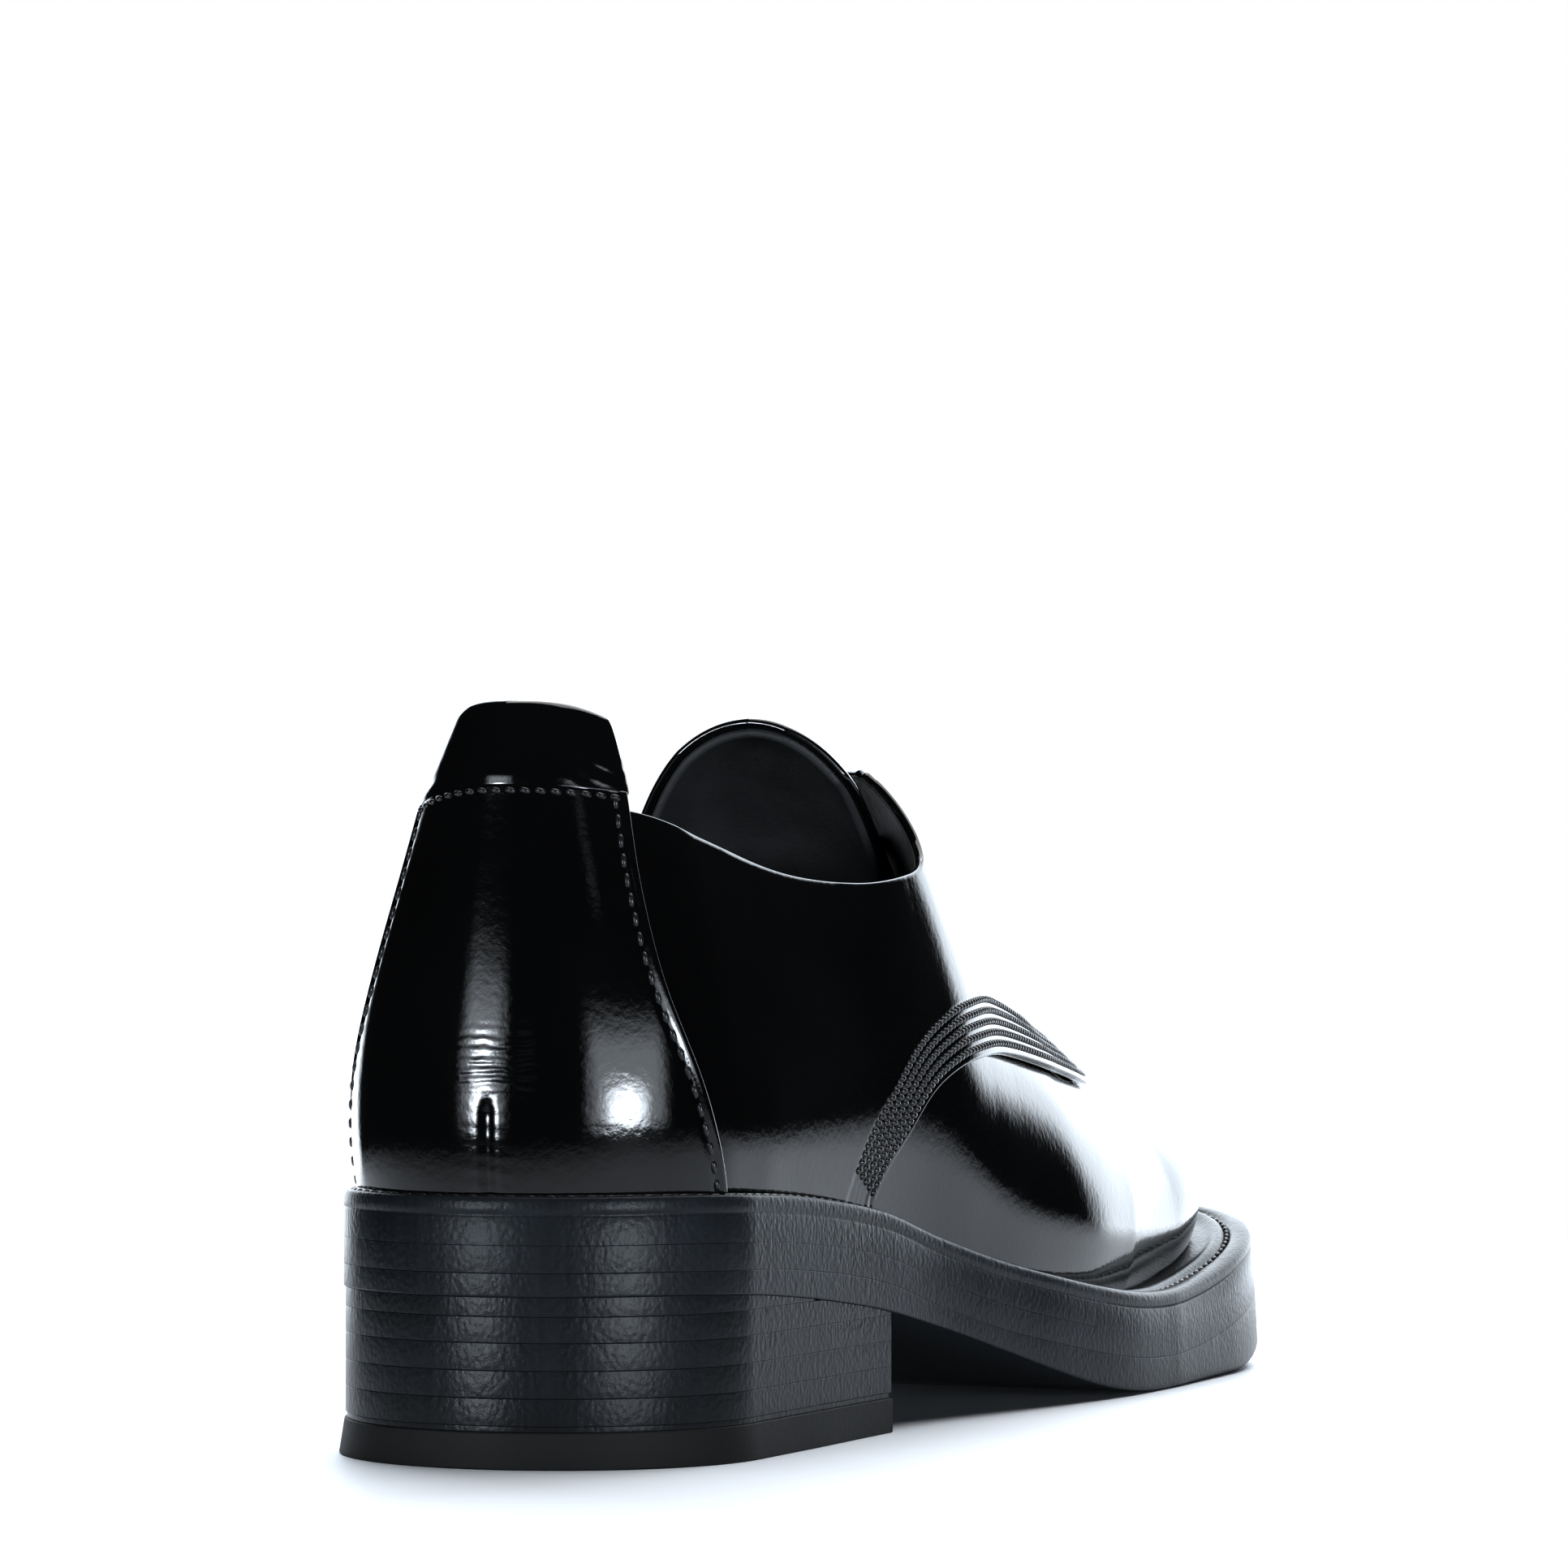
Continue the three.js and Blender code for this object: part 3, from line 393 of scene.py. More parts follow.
def welt_ring(share, rise):
    lean = 0.3 * np.clip(-rise / WELT_HEIGHT, 0, 1) if share < 0.3 else 0
    plan = plan_ring(lambda y: SOLE_INSET - flare(y) * lean + share * (feather_inset(y) - SOLE_INSET))
    scale = feather_inset(plan[:, 1]) / 9 if -2 < rise < 0 and 0.35 < share < 1.5 else 1
    return np.column_stack([plan, welt_top(plan[:, 1]) + rise * scale])


welt_rings = [welt_ring(share, rise) for share, rise in WELT_SECTION]
welt = make_mesh("storm_welt", np.concatenate(welt_rings), loft_faces(len(welt_rings), len(welt_rings[0]), True),
                 sole_edge, 60)
fasten(welt, "welt")

thread = Finish("waxed_thread", Roughness=0.28, IOR=1.5)
twist = thread.noise(2600, 2)
thread.set(Base_Color=thread.tint(twist, (0.006, 0.006, 0.007), (0.020, 0.020, 0.022)))
thread.emboss(twist, 0.00004)


def stitches(name, path, normals, pitch, length, radius, sink=0.35, slant=0.0):
    """One row of stitches along a path: each is a short plump bead of thread, its ends sunk in the leather.

    slant turns the beads across the row, as the two threads of a lockstitch lie.
    """
    steps = np.linalg.norm(np.diff(path, axis=0), axis=1)
    run = np.concatenate([[0], np.cumsum(steps)])
    count = max(1, int(run[-1] / pitch))
    centres = (np.arange(count) + 0.5) * run[-1] / count
    spots = np.column_stack([np.interp(centres, run, path[:, k]) for k in range(3)])
    ahead = np.column_stack([np.interp(centres + 0.3, run, path[:, k]) for k in range(3)])
    ups = np.column_stack([np.interp(centres, run, normals[:, k]) for k in range(3)])
    ups /= np.linalg.norm(ups, axis=1)[:, None]
    alongs = ahead - spots
    alongs -= ups * np.sum(alongs * ups, axis=1)[:, None]
    alongs /= np.maximum(np.linalg.norm(alongs, axis=1), 1e-6)[:, None]
    alongs = alongs * math.cos(slant) + np.cross(alongs, ups) * math.sin(slant)
    acrosses = np.cross(alongs, ups)
    rings, sides = 7, 8
    bead = []
    for i in range(rings):
        lie = -math.pi / 2 + math.pi * (i + 0.35) / (rings - 0.3)
        for j in range(sides):
            around = 2 * math.pi * j / sides
            width = radius * math.cos(lie) ** 0.6
            bead.append((length / 2 * math.sin(lie), width * math.cos(around),
                         width * math.sin(around) - radius * (sink + 0.9 * math.sin(lie) ** 4)))
    bead = np.array(bead)
    points = (spots[:, None] + bead[None, :, :1] * alongs[:, None] + bead[None, :, 1:2] * acrosses[:, None]
              + bead[None, :, 2:] * ups[:, None]).reshape(-1, 3)
    pattern = [(i * sides + j, i * sides + (j + 1) % sides, (i + 1) * sides + (j + 1) % sides, (i + 1) * sides + j)
               for i in range(rings - 1) for j in range(sides)]
    pattern += [tuple(range(sides))[::-1], tuple((rings - 1) * sides + j for j in range(sides))]
    faces = [tuple(k * len(bead) + corner for corner in face) for k in range(count) for face in pattern]
    row = make_mesh(name, points, faces, thread.material, 80)
    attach(row, "shoe")


channel = welt_ring(CHANNEL_SHARE, CHANNEL_RISE)
channel[:, 2] += 0.3
stitches("welt_stitching", np.vstack([channel, channel[:1]]), np.tile([0, 0, 1.0], (len(channel) + 1, 1)), 3.0, 2.7,
         0.42, 0.0)


# ---------------------------------------------------------------- shape of the upper
# The upper is pulled over a last. Four rails run round the last - feather, wall, crown and top - and each
# profile across them is a cubic curve: s goes from the back (0) to the toe (1, or -1 on the inner side), t up.
REAR_Y = 36
FRONT_Y = LENGTH - TOE_ROUND
S_REAR = 0.2
S_FRONT = 0.78
WELT_GAP = 0.3
bulge_outer = through((REAR_Y, 6), (77, 8), (110, 9), (138, 7.5), (162, 8.5), (190, 8.5), (FRONT_Y, 7))
bulge_inner = through((REAR_Y, 6.5), (77, 7), (110, 7.5), (138, 6.5), (162, 6), (190, 6), (FRONT_Y, 5))
wall_rise = through((0, 30), (REAR_Y, 30.4), (77, 33.5), (110, 35.5), (138, 36), (162, 32), (190, 26), (FRONT_Y, 22),
                    (LENGTH, 16))
crown_outer = through((REAR_Y, 18.5), (60, 24.5), (77, 28.5), (110, 30), (138, 22.5), (162, 23.5), (190, 25),
                      (FRONT_Y, 24))
crown_inner = through((REAR_Y, 15.5), (60, 22), (77, 26), (110, 28.5), (138, 23), (162, 22), (190, 22), (FRONT_Y, 21))
RIDGE = [(100, 119), (110, 116.5), (120, 109.5), (138, 94.5), (162, 78.5), (180, 71), (195, 64.5), (FRONT_Y, 56.5)]
crown_top = through((0, 100), (REAR_Y, 100), (60, 108), (80, 114.5), *RIDGE, (240, 53), (LENGTH, 49))
top_half = through((REAR_Y, 16), (60, 8), (80, 3), (96, 0))
top_height = through((0, 122), (REAR_Y, 121), (60, 119.5), (80, 119.5), *RIDGE)
BACK_REACH = (31.6, 35.2, 23, 24)
TOE_REACH = (52, 59, 31, 0)


def y_at(u):
    """Distance along the shoe of the straight part of the sides, for u = |s|."""
    return REAR_Y + (u - S_REAR) / (S_FRONT - S_REAR) * (FRONT_Y - REAR_Y)


def rail_height(rail, y):
    foot = welt_top(y) + WELT_GAP
    return (foot, foot + wall_rise(y), crown_top(y), top_height(y))[rail]


def rail_half(rail, side, y):
    held = np.clip(y, REAR_Y, FRONT_Y)
    foot = np.abs(edge_x(side, held, feather_inset(held)) - centre_line(held))
    bulge = np.where(side > 0, bulge_outer(y), bulge_inner(y))
    crown = np.where(side > 0, crown_outer(y), crown_inner(y))
    return (foot, foot + bulge, crown, top_half(y))[rail]


def bare_rail_point(rail, s):
    """A rail's point at s: a round end at the heel, the two sides, and a squarer round end at the toe."""
    side = np.where(s < 0, -1.0, 1.0)
    u = np.minimum(np.abs(s), 1)
    rear = u < S_REAR
    toe = u > S_FRONT
    angle = np.where(rear, u / S_REAR, np.where(toe, (u - S_FRONT) / (1 - S_FRONT), 0)) * math.pi / 2
    power = 2 / TOE_SQUARENESS
    y = np.where(rear, REAR_Y - BACK_REACH[rail] * np.cos(angle),
                 np.where(toe, FRONT_Y + TOE_REACH[rail] * np.sin(angle) ** power, y_at(u)))
    half = rail_half(rail, side, np.where(rear, REAR_Y, np.where(toe, FRONT_Y, y)))
    half = half * np.where(rear, np.sin(angle), np.where(toe, np.maximum(np.cos(angle), 0) ** power, 1))
    middle = centre_line(np.where(rear, REAR_Y, y))
    return np.stack([middle + side * half, y, rail_height(rail, y)], -1)


# the crest of the instep leans toward the outer side at the mouth; the rails are faired where the heel's round
# end meets the sides
ridge_lean = through((72, 0), (92, 4), (104, 4), (116, 1.2), (126, 0))
FAIRING_RUN = 0.06
FAIRING_REACH = 0.045


def rail_point(rail, s):
    """The rail at s, averaged over a short run where its round end meets its side."""
    fair = bare_rail_point(rail, s)
    u = np.abs(s)
    near = np.abs(u - S_REAR) < FAIRING_RUN
    if near.any():
        side, u = np.where(s < 0, -1.0, 1.0)[near], u[near]
        reach = FAIRING_REACH * (1 - ((u - S_REAR) / FAIRING_RUN) ** 2) ** 2
        fair[near] = sum(weight * bare_rail_point(rail, side * (u + step * reach))
                         for step, weight in ((-1, 1), (-0.5, 2), (0, 2), (0.5, 2), (1, 1))) / 8
    fair[..., 0] += (0, 0.05, 0.5, 1)[rail] * ridge_lean(fair[..., 1])
    return fair


def upper_point(s, t):
    """The point of the last's surface at s round the shoe and t up its profile."""
    s, t = np.broadcast_arrays(np.asarray(s, float), np.asarray(t, float))
    r = 1 - t
    weights = (r**3, 3 * r * r * t, 3 * r * t * t, t**3)
    return sum(weight[..., None] * rail_point(rail, s) for rail, weight in enumerate(weights))


def upper_normal(s, t):
    """Straight out from the last, from the slopes along and across."""
    s, t = np.broadcast_arrays(np.asarray(s, float), np.asarray(t, float))
    step = 0.004
    held = np.clip(t, 0, 0.965)
    across = upper_point(s, held + step) - upper_point(s, held - step)
    along = upper_point(s + step, held) - upper_point(s - step, held)
    normal = np.cross(along, across)
    return normal / np.maximum(np.linalg.norm(normal, axis=-1), 1e-9)[..., None]


def s_at(side, y):
    """The s of a place y along one of the sides."""
    return side * (S_REAR + (np.asarray(y, float) - REAR_Y) / (FRONT_Y - REAR_Y) * (S_FRONT - S_REAR))


HALVINGS = 22


def solve_t(s, measure, wanted):
    """The t at which a measure that grows up the profile reaches the wanted value, by halving."""
    low, high = np.zeros(np.shape(s)), np.ones(np.shape(s))
    for _ in range(HALVINGS):
        middle = (low + high) / 2
        short = measure(upper_point(s, middle)) < wanted
        low, high = np.where(short, middle, low), np.where(short, high, middle)
    return low


def t_at_height(s, z):
    return solve_t(np.asarray(s, float), lambda p: p[..., 2], z)


def t_at_centre(s, half):
    """The t, on the upper half of the profile, that lies half a width from the shoe's middle."""
    return np.maximum(0.5, solve_t(np.asarray(s, float), lambda p: -np.abs(p[..., 0] - centre_line(p[..., 1])),
                                   -np.asarray(half, float)))


def leather(name, s, t, inner, outer, material, edge=0.5, relief=None, sharp=80):
    """A sheet of leather over the last between two depths, with a rounded edge all round.

    s and t are grids of columns by rows; relief(points) raises or sinks the outer face.
    """
    columns, rows = s.shape
    base, normal = upper_point(s, t), upper_normal(s, t)
    inner, outer = inner + 0 * s, outer + 0 * s
    if relief:
        outer = outer + relief(base)
    face = base + normal * outer[..., None]
    back = base + normal * inner[..., None]
    grid = np.arange(columns * rows).reshape(columns, rows)
    loop = np.concatenate([grid[:, 0], grid[-1, 1:], grid[-2::-1, -1], grid[0, -2:0:-1]])
    inside = np.concatenate([grid[:, 1], grid[-2, 1:], grid[-2::-1, -2], grid[1, -2:0:-1]])
    face_flat, back_flat = face.reshape(-1, 3), back.reshape(-1, 3)
    rim_face, rim_back = face_flat[loop], back_flat[loop]
    tangent = np.roll(rim_face, -1, 0) - np.roll(rim_face, 1, 0)
    outward = np.cross(tangent, rim_face - rim_back)
    outward /= np.maximum(np.linalg.norm(outward, axis=1), 1e-9)[:, None]
    outward *= np.sign(np.sum(outward * (rim_face - face_flat[inside]), axis=1))[:, None]
    middle, half = (rim_face + rim_back) / 2, (rim_face - rim_back) / 2
    rims = [middle + half * math.cos(a) + outward * edge * math.sin(a) for a in np.radians([30, 60, 90, 120, 150])]
    points = np.concatenate([face_flat, back_flat, *rims])
    total, length = columns * rows, len(loop)
    a, b = grid[:-1, :-1].ravel(), grid[1:, :-1].ravel()
    c, d = grid[1:, 1:].ravel(), grid[:-1, 1:].ravel()
    faces = np.column_stack([a, b, c, d]).tolist() + (np.column_stack([d, c, b, a]) + total).tolist()
    chain = [loop, *[2 * total + k * length + np.arange(length) for k in range(len(rims))], loop + total]
    for upper_row, lower_row in zip(chain, chain[1:]):
        faces += np.column_stack([upper_row, lower_row, np.roll(lower_row, -1), np.roll(upper_row, -1)]).tolist()
    return make_mesh(name, points, faces, material, sharp)


# ---------------------------------------------------------------- patent leather
# Chrome-tanned leather under a thick black lacquer: a mirror with a faint orange peel, pulled into fine
# creases where it bends over the counter.
def lacquered(name, creases=None):
    """Patent finish; creases(finish) may add a height of its own."""
    finish = Finish(name, IOR=1.47, Coat_Roughness=0.02, Coat_IOR=1.45)
    peel = finish.noise(800, 2, 0.55)
    pull = finish.noise(210, 2, 0.5, (1, 1, 1.4))
    haze = finish.noise(30, 3)
    specks = finish.band(finish.noise(5200, 1), 0.72, 0.8)
    finish.set(Roughness=0.05 + 0.05 * haze + 0.1 * specks, Coat_Weight=0.04 + 0.08 * haze)
    finish.set(Base_Color=finish.tint(finish.band(haze, 0.3, 0.8), (0.0022, 0.0023, 0.0025),
                                      (0.0040, 0.0041, 0.0044)))
    height = peel * 0.36 + pull * 0.3
    finish.emboss(height + creases(finish) if creases else height, 0.00006)
    return finish.material


patent = lacquered("patent_leather")

LEATHER = 1.5
VAMP_OUT = -LEATHER - 0.3


# ---------------------------------------------------------------- vamp
# One piece of patent leather over toe and forefoot. It is lasted down onto the welt, and its rear runs
# under both quarters as far as the waist.
VAMP_REAR_Y = 72
vamp_top = through((VAMP_REAR_Y, 0.1), (84, 0.26), (97, 0.36), (110, 0.4), (130, 0.42), (160, 0.45), (180, 0.5),
                   (190, 0.66), (198, 1))
toe_turn = np.linspace(S_FRONT, 1, 61)[1:]
half_run = np.concatenate([s_at(1, np.linspace(VAMP_REAR_Y, FRONT_Y, 150)), toe_turn])
vamp_s = np.concatenate([half_run, -half_run[::-1][1:]])
vamp_high = np.where(np.abs(vamp_s) > S_FRONT, 1.0, np.minimum(1, vamp_top(y_at(np.abs(vamp_s)))))
# its foot is drawn down a little past the top of the welt
VAMP_FOOT = -0.025
rise = np.linspace(VAMP_FOOT, 1, 60)
vamp = leather("vamp_leather", np.repeat(vamp_s[:, None], 60, 1), vamp_high[:, None] * rise[None],
               VAMP_OUT - LEATHER, VAMP_OUT, patent, 0.2)
fasten(vamp, "vamp")


# ---------------------------------------------------------------- quarters
# The quarters close the sides: their fronts are sewn over the vamp with five close rows, they carry the
# eyelets down the instep, and they meet at the back seam under the strap.
QUARTER_CORNER_Y = 116
THROAT_Y = 204
FRONT_FOOT_Y = 81
top_line = through((0, 98.5), (18, 98), (34, 93.7), (56, 88.6), (79, 87.2), (98, 88.8), (106, 91), (110.5, 94.5),
                   (112.5, 99), (115, 106))
front_edge = through((FRONT_FOOT_Y, 36.5), (84, 41.5), (90, 47), (97, 53), (104, 56.4), (113, 58.6), (130, 59.6),
                     (160, 56.6), (190, 53.4), (199, 53.9), (204, 55.8), (208, 59))


def facing_half(y):
    """Half the gap between the two facings, which narrows toward the throat."""
    return 11.5 - 7 * (y - QUARTER_CORNER_Y) / (THROAT_Y - QUARTER_CORNER_Y)


FRONT_ROWS = 5
FIRST_ROW = 1.5
ROW_SPACING = 1.9
ROW_DEPTH = 0.17


def polyline_distance(points, line):
    """How far each point lies from the nearest of a line's closely spaced points."""
    flat = points.reshape(-1, 3)
    best = np.full(len(flat), 1e9)
    for spot in line:
        best = np.minimum(best, np.sum((flat - spot) ** 2, axis=1))
    return np.sqrt(best).reshape(points.shape[:-1])


CORNER_ROUND = 9
CORNER_TOP_Z = 106.5
TOPLINE_TURN_Y = 98


def quarter_top(side, ys, low):
    """The t of the quarter's upper edge: the topline, then a round corner, then the facing."""
    s = s_at(side, ys)
    turn = np.clip((ys - QUARTER_CORNER_Y + 1) / CORNER_ROUND, 0, 1)
    corner = CORNER_ROUND * (1 - np.sqrt(1 - (1 - turn) ** 2))
    facing = np.maximum(t_at_centre(s, facing_half(ys) + corner), low + 0.05)
    real_y = upper_point(s, 0.7)[:, 1]
    side_top = t_at_height(s, np.where(ys < QUARTER_CORNER_Y, top_line(real_y), CORNER_TOP_Z))
    return np.where(ys < TOPLINE_TURN_Y, side_top, np.minimum(side_top, facing))


def quarter_grid(side):
    rear_s = side * np.linspace(0.003, S_REAR, 50)
    rear_y = upper_point(rear_s, 0.7)[:, 1]
    ys = np.concatenate([np.linspace(REAR_Y, 78, 50)[1:], np.linspace(78, 100, 70)[1:], np.linspace(100, 118, 70)[1:],
                         np.linspace(118, 207.5, 116)[1:]])
    rest_s = s_at(side, ys)
    low = np.where(ys <= FRONT_FOOT_Y, 0, t_at_height(rest_s, front_edge(ys)))
    high = quarter_top(side, ys, low)
    low = np.concatenate([np.zeros(50), low])
    high = np.concatenate([t_at_height(rear_s, top_line(rear_y)), high])
    s = np.concatenate([rear_s, rest_s])
    run = np.linspace(0, 1, 84)
    share = 0.55 * run + 0.45 * run**2
    return np.repeat(s[:, None], 84, 1), low[:, None] + (high - low)[:, None] * share[None]


for side, label in ((1, "outer"), (-1, "inner")):
    s, t = quarter_grid(side)
    face = upper_point(s, t)
    front = face[np.abs(s[:, 0]) >= s_at(1, FRONT_FOOT_Y), 0]
    fine = np.linspace(0, len(front) - 1, 3 * len(front))
    front_line = np.column_stack([np.interp(fine, np.arange(len(front)), front[:, k]) for k in range(3)])

    def front_relief(points, line=front_line):
        away = polyline_distance(points, line)
        grooves = sum(np.exp(-(((away - FIRST_ROW - ROW_SPACING * k) / 0.5) ** 2)) for k in range(FRONT_ROWS))
        return -ROW_DEPTH * grooves

    quarter = leather(f"quarter_{label}_leather", s, t, -LEATHER, 0.0, patent, 0.35, front_relief)
    fasten(quarter, f"quarter_{label}")

    grid = np.arange(s.size).reshape(s.shape)
    corners = [grid[:-1, :-1], grid[1:, :-1], grid[1:, 1:], grid[:-1, 1:]]
    surface = BVHTree.FromPolygons([tuple(p) for p in face.reshape(-1, 3)],
                                   np.column_stack([corner.ravel() for corner in corners]).tolist())
    starts = np.where(np.abs(s[:, 0]) >= s_at(1, FRONT_FOOT_Y))[0]
    edge_points = face[starts, 0]
    edge_normals = upper_normal(s[starts, 0], t[starts, 0])
    along = np.gradient(edge_points, axis=0)
    inward = np.cross(edge_normals, along)
    inward /= np.linalg.norm(inward, axis=1)[:, None]
    inward *= np.sign(np.sum(inward * (face[starts, 6] - edge_points), axis=1))[:, None]
    for k in range(FRONT_ROWS):
        wanted = edge_points + inward * (FIRST_ROW + ROW_SPACING * k)
        hits = [surface.find_nearest(Vector(p)) for p in wanted]
        spots, ups = np.array([hit[0] for hit in hits]), np.array([hit[1] for hit in hits])
        ups *= np.sign(np.sum(ups * edge_normals, axis=1))[:, None]
        stitches(f"front_stitches_{label}_{k + 1}", spots, ups, 1.5, 1.8, 0.62, 0.3, 0.5)


# ---------------------------------------------------------------- back strap
# A broad strap covers the back seam from the welt to the tab. Its folded sides are topstitched, and a short
# dart gathers it over the roundest part of the counter.
TAB_EDGE = 0.107
STRAP_IN = 0.3
STRAP_OUT = STRAP_IN + LEATHER
STRAP_ROW = 1.7
TAB_SEAM_Z = 101
strap_edge = through((0, 0.158), (0.25, 0.136), (0.5, 0.114), (0.75, 0.106), (1, TAB_EDGE))
across = np.linspace(-1, 1, 110)


def rear_patch(rows, low, high, edge):
    """Columns by rows over the back of the heel, as wide as edge(v) at each height v."""
    up = np.linspace(0, 1, rows)
    s = across[:, None] * edge(up)[None]
    return s, low(s) + (high(s) - low(s)) * up[None]


def tab_seam(s):
    """Height of the seam under the tab: highest in the middle, lower at the inner end than at the outer."""
    return TAB_SEAM_Z + 0.5 - np.where(s < 0, 3.4, 1.5) * (s / TAB_EDGE) ** 2


strap_s, strap_t = rear_patch(120, lambda s: 0 * s, lambda s: t_at_height(s, tab_seam(s)), strap_edge)


def across_distance(points, edge):
    """Distance over the leather from one edge of the strap, along each row."""
    steps = np.linalg.norm(np.diff(points, axis=0), axis=2)
    run = np.vstack([np.zeros(points.shape[1]), np.cumsum(steps, axis=0)])
    return run if edge == 0 else run[-1] - run


DART_TOP_Z = 55.5
DART_X = -0.6


def strap_relief(points):
    """A groove along each folded side, the dart and its pucker, and ripples in the leather above it."""
    fold = np.minimum(across_distance(points, 0), across_distance(points, -1))
    groove = -0.25 * np.exp(-(((fold - STRAP_ROW) / 0.45) ** 2)) + 0.2 * np.exp(-((fold / 1.1) ** 2))
    beside = points[..., 0] - DART_X
    below_top = np.clip((DART_TOP_Z - points[..., 2]) / 3, 0, 1)
    dart = np.exp(-((beside / 0.7) ** 2)) * below_top
    pucker = np.exp(-((beside / 3.2) ** 2)) * np.sin(points[..., 2] * 2.6 + 0.35 * beside)
    above = np.exp(-(((points[..., 2] - 60) / 4.5) ** 2)) * np.exp(-(((beside - 2) / 5.5) ** 2))
    ripple = np.sin(points[..., 2] * 4.6 + 1.3 * np.sin(beside * 0.9 + points[..., 2] * 0.8) + 0.12 * beside**2)
    return groove - 0.4 * dart + 0.012 * pucker * below_top + 0.035 * above * ripple


def heel_creases(finish):
    """Fine horizontal creases over the counter, above the dart."""
    x, y, z = finish.split()
    middle = (z * 1000 - 60.5).math("ABSOLUTE")
    beside = (x * 1000 - 1.5).math("ABSOLUTE")
    where = (1 - finish.band(middle, 2, 7)) * (1 - finish.band(beside, 3, 10))
    waver = finish.noise(160, 2, 0.5)
    lines = (z * 4200 + waver * 9).math("SINE")
    return where * lines * 0.35


strap_patent = lacquered("strap_patent", heel_creases)
strap = leather("strap_leather", strap_s, strap_t, STRAP_IN, STRAP_OUT, strap_patent, 0.5, strap_relief)
fasten(strap, "back_strap")

strap_face = upper_point(strap_s, strap_t)
strap_normal = upper_normal(strap_s, strap_t)
for edge, label in ((0, "inner"), (-1, "outer")):
    away = across_distance(strap_face, edge)
    inward = 1 if edge == 0 else -1
    path, ups = [], []
    for row in range(strap_s.shape[1]):
        order = slice(None, None, inward)
        found = [np.interp(STRAP_ROW, away[order, row], grid[order, row, k]) for grid in (strap_face, strap_normal)
                 for k in range(3)]
        path.append(found[:3])
        ups.append(found[3:])
    path, ups = np.array(path), np.array(ups)
    stitches(f"strap_stitches_{label}", path + ups * (STRAP_OUT - 0.1), ups, 3.0, 2.5, 0.5, 0.1, 0.1)

dart_z = np.linspace(DART_TOP_Z - 0.5, 41.5, 30)
dart_s = np.full(30, -0.0085)
dart_t = t_at_height(dart_s, dart_z)
dart_normal = upper_normal(dart_s, dart_t)
dart_path = upper_point(dart_s, dart_t) + dart_normal * (STRAP_OUT - 0.42)
stitches("dart_stitches", dart_path, dart_normal, 2.3, 1.9, 0.36, 0.25, 0.2)


# ---------------------------------------------------------------- heel tab
# A padded pull tab of doubled patent leather stands above the strap. It is sewn to the strap along one curved
# seam, and its top rolls forward over the collar.
TAB_TOP_Z = 114.5
TAB_THICKNESS = 2.8
TAB_ROLL = 1.3


def tab_top(s):
    """Height of the tab's top, which falls away in a round corner at each side."""
    return TAB_TOP_Z - 1.1 - np.where(s > 0, 4.8, 6.5) * (np.abs(s) / TAB_EDGE) ** np.where(s > 0, 3.8, 3.6)


tab_s, tab_t = rear_patch(60, lambda s: t_at_height(s, tab_seam(s) + 0.05), lambda s: t_at_height(s, tab_top(s)),
                          lambda v: TAB_EDGE * (1 - 0.18 * v**5))
tab_rise = np.linspace(0, 1, 60)
outer_side = np.clip(across, 0, 1)[:, None]
tab_s = tab_s * (1 + 0.2 * outer_side * tab_rise[None] ** 5)


def tab_relief(points):
    """The padded tab swells above its seam and rolls forward toward its top."""
    swell = 0.12 * np.exp(-(((tab_rise - 0.12) / 0.09) ** 2)) - TAB_ROLL * tab_rise**2
    crease = np.exp(-(((points[..., 0] - 11) / 4) ** 2)) * np.exp(-(((points[..., 2] - 103.5) / 2) ** 2))
    return swell[None] + 0 * points[..., 0] + 0.12 * crease * np.sin(points[..., 0] * 1.9 + points[..., 2] * 2.4)


tab = leather("tab_leather", tab_s, tab_t, STRAP_OUT - TAB_THICKNESS - TAB_ROLL * tab_rise[None] ** 2, STRAP_OUT,
              patent, 1.2, tab_relief)
fasten(tab, "heel_tab")

seam_s = np.linspace(-0.97, 0.97, 80) * TAB_EDGE
seam_t = t_at_height(seam_s, tab_seam(seam_s) - 0.9)
seam_normal = upper_normal(seam_s, seam_t)
stitches("tab_stitches", upper_point(seam_s, seam_t) + seam_normal * STRAP_OUT, seam_normal, 2.3, 1.95, 0.48, 0.0,
         0.25)


# ---------------------------------------------------------------- linings
# Matte lining leather covers the inside: one piece round the heel and quarters, one in the forefoot, a narrow
# facing glued behind each quarter's upper front, and a sock over the insole board.
lining = Finish("lining_leather", Roughness=0.6, IOR=1.45)
grain = lining.cells(1100, "SMOOTH_F1")
pores = lining.noise(3000, 3)
worn = lining.noise(55, 4)
lining.set(Base_Color=lining.tint(lining.band(worn, 0.3, 0.75), (0.020, 0.021, 0.023), (0.040, 0.041, 0.044)))
lining.set(Roughness=0.48 + 0.2 * worn)
lining.emboss(grain * 0.7 + pores * 0.5, 0.00012)

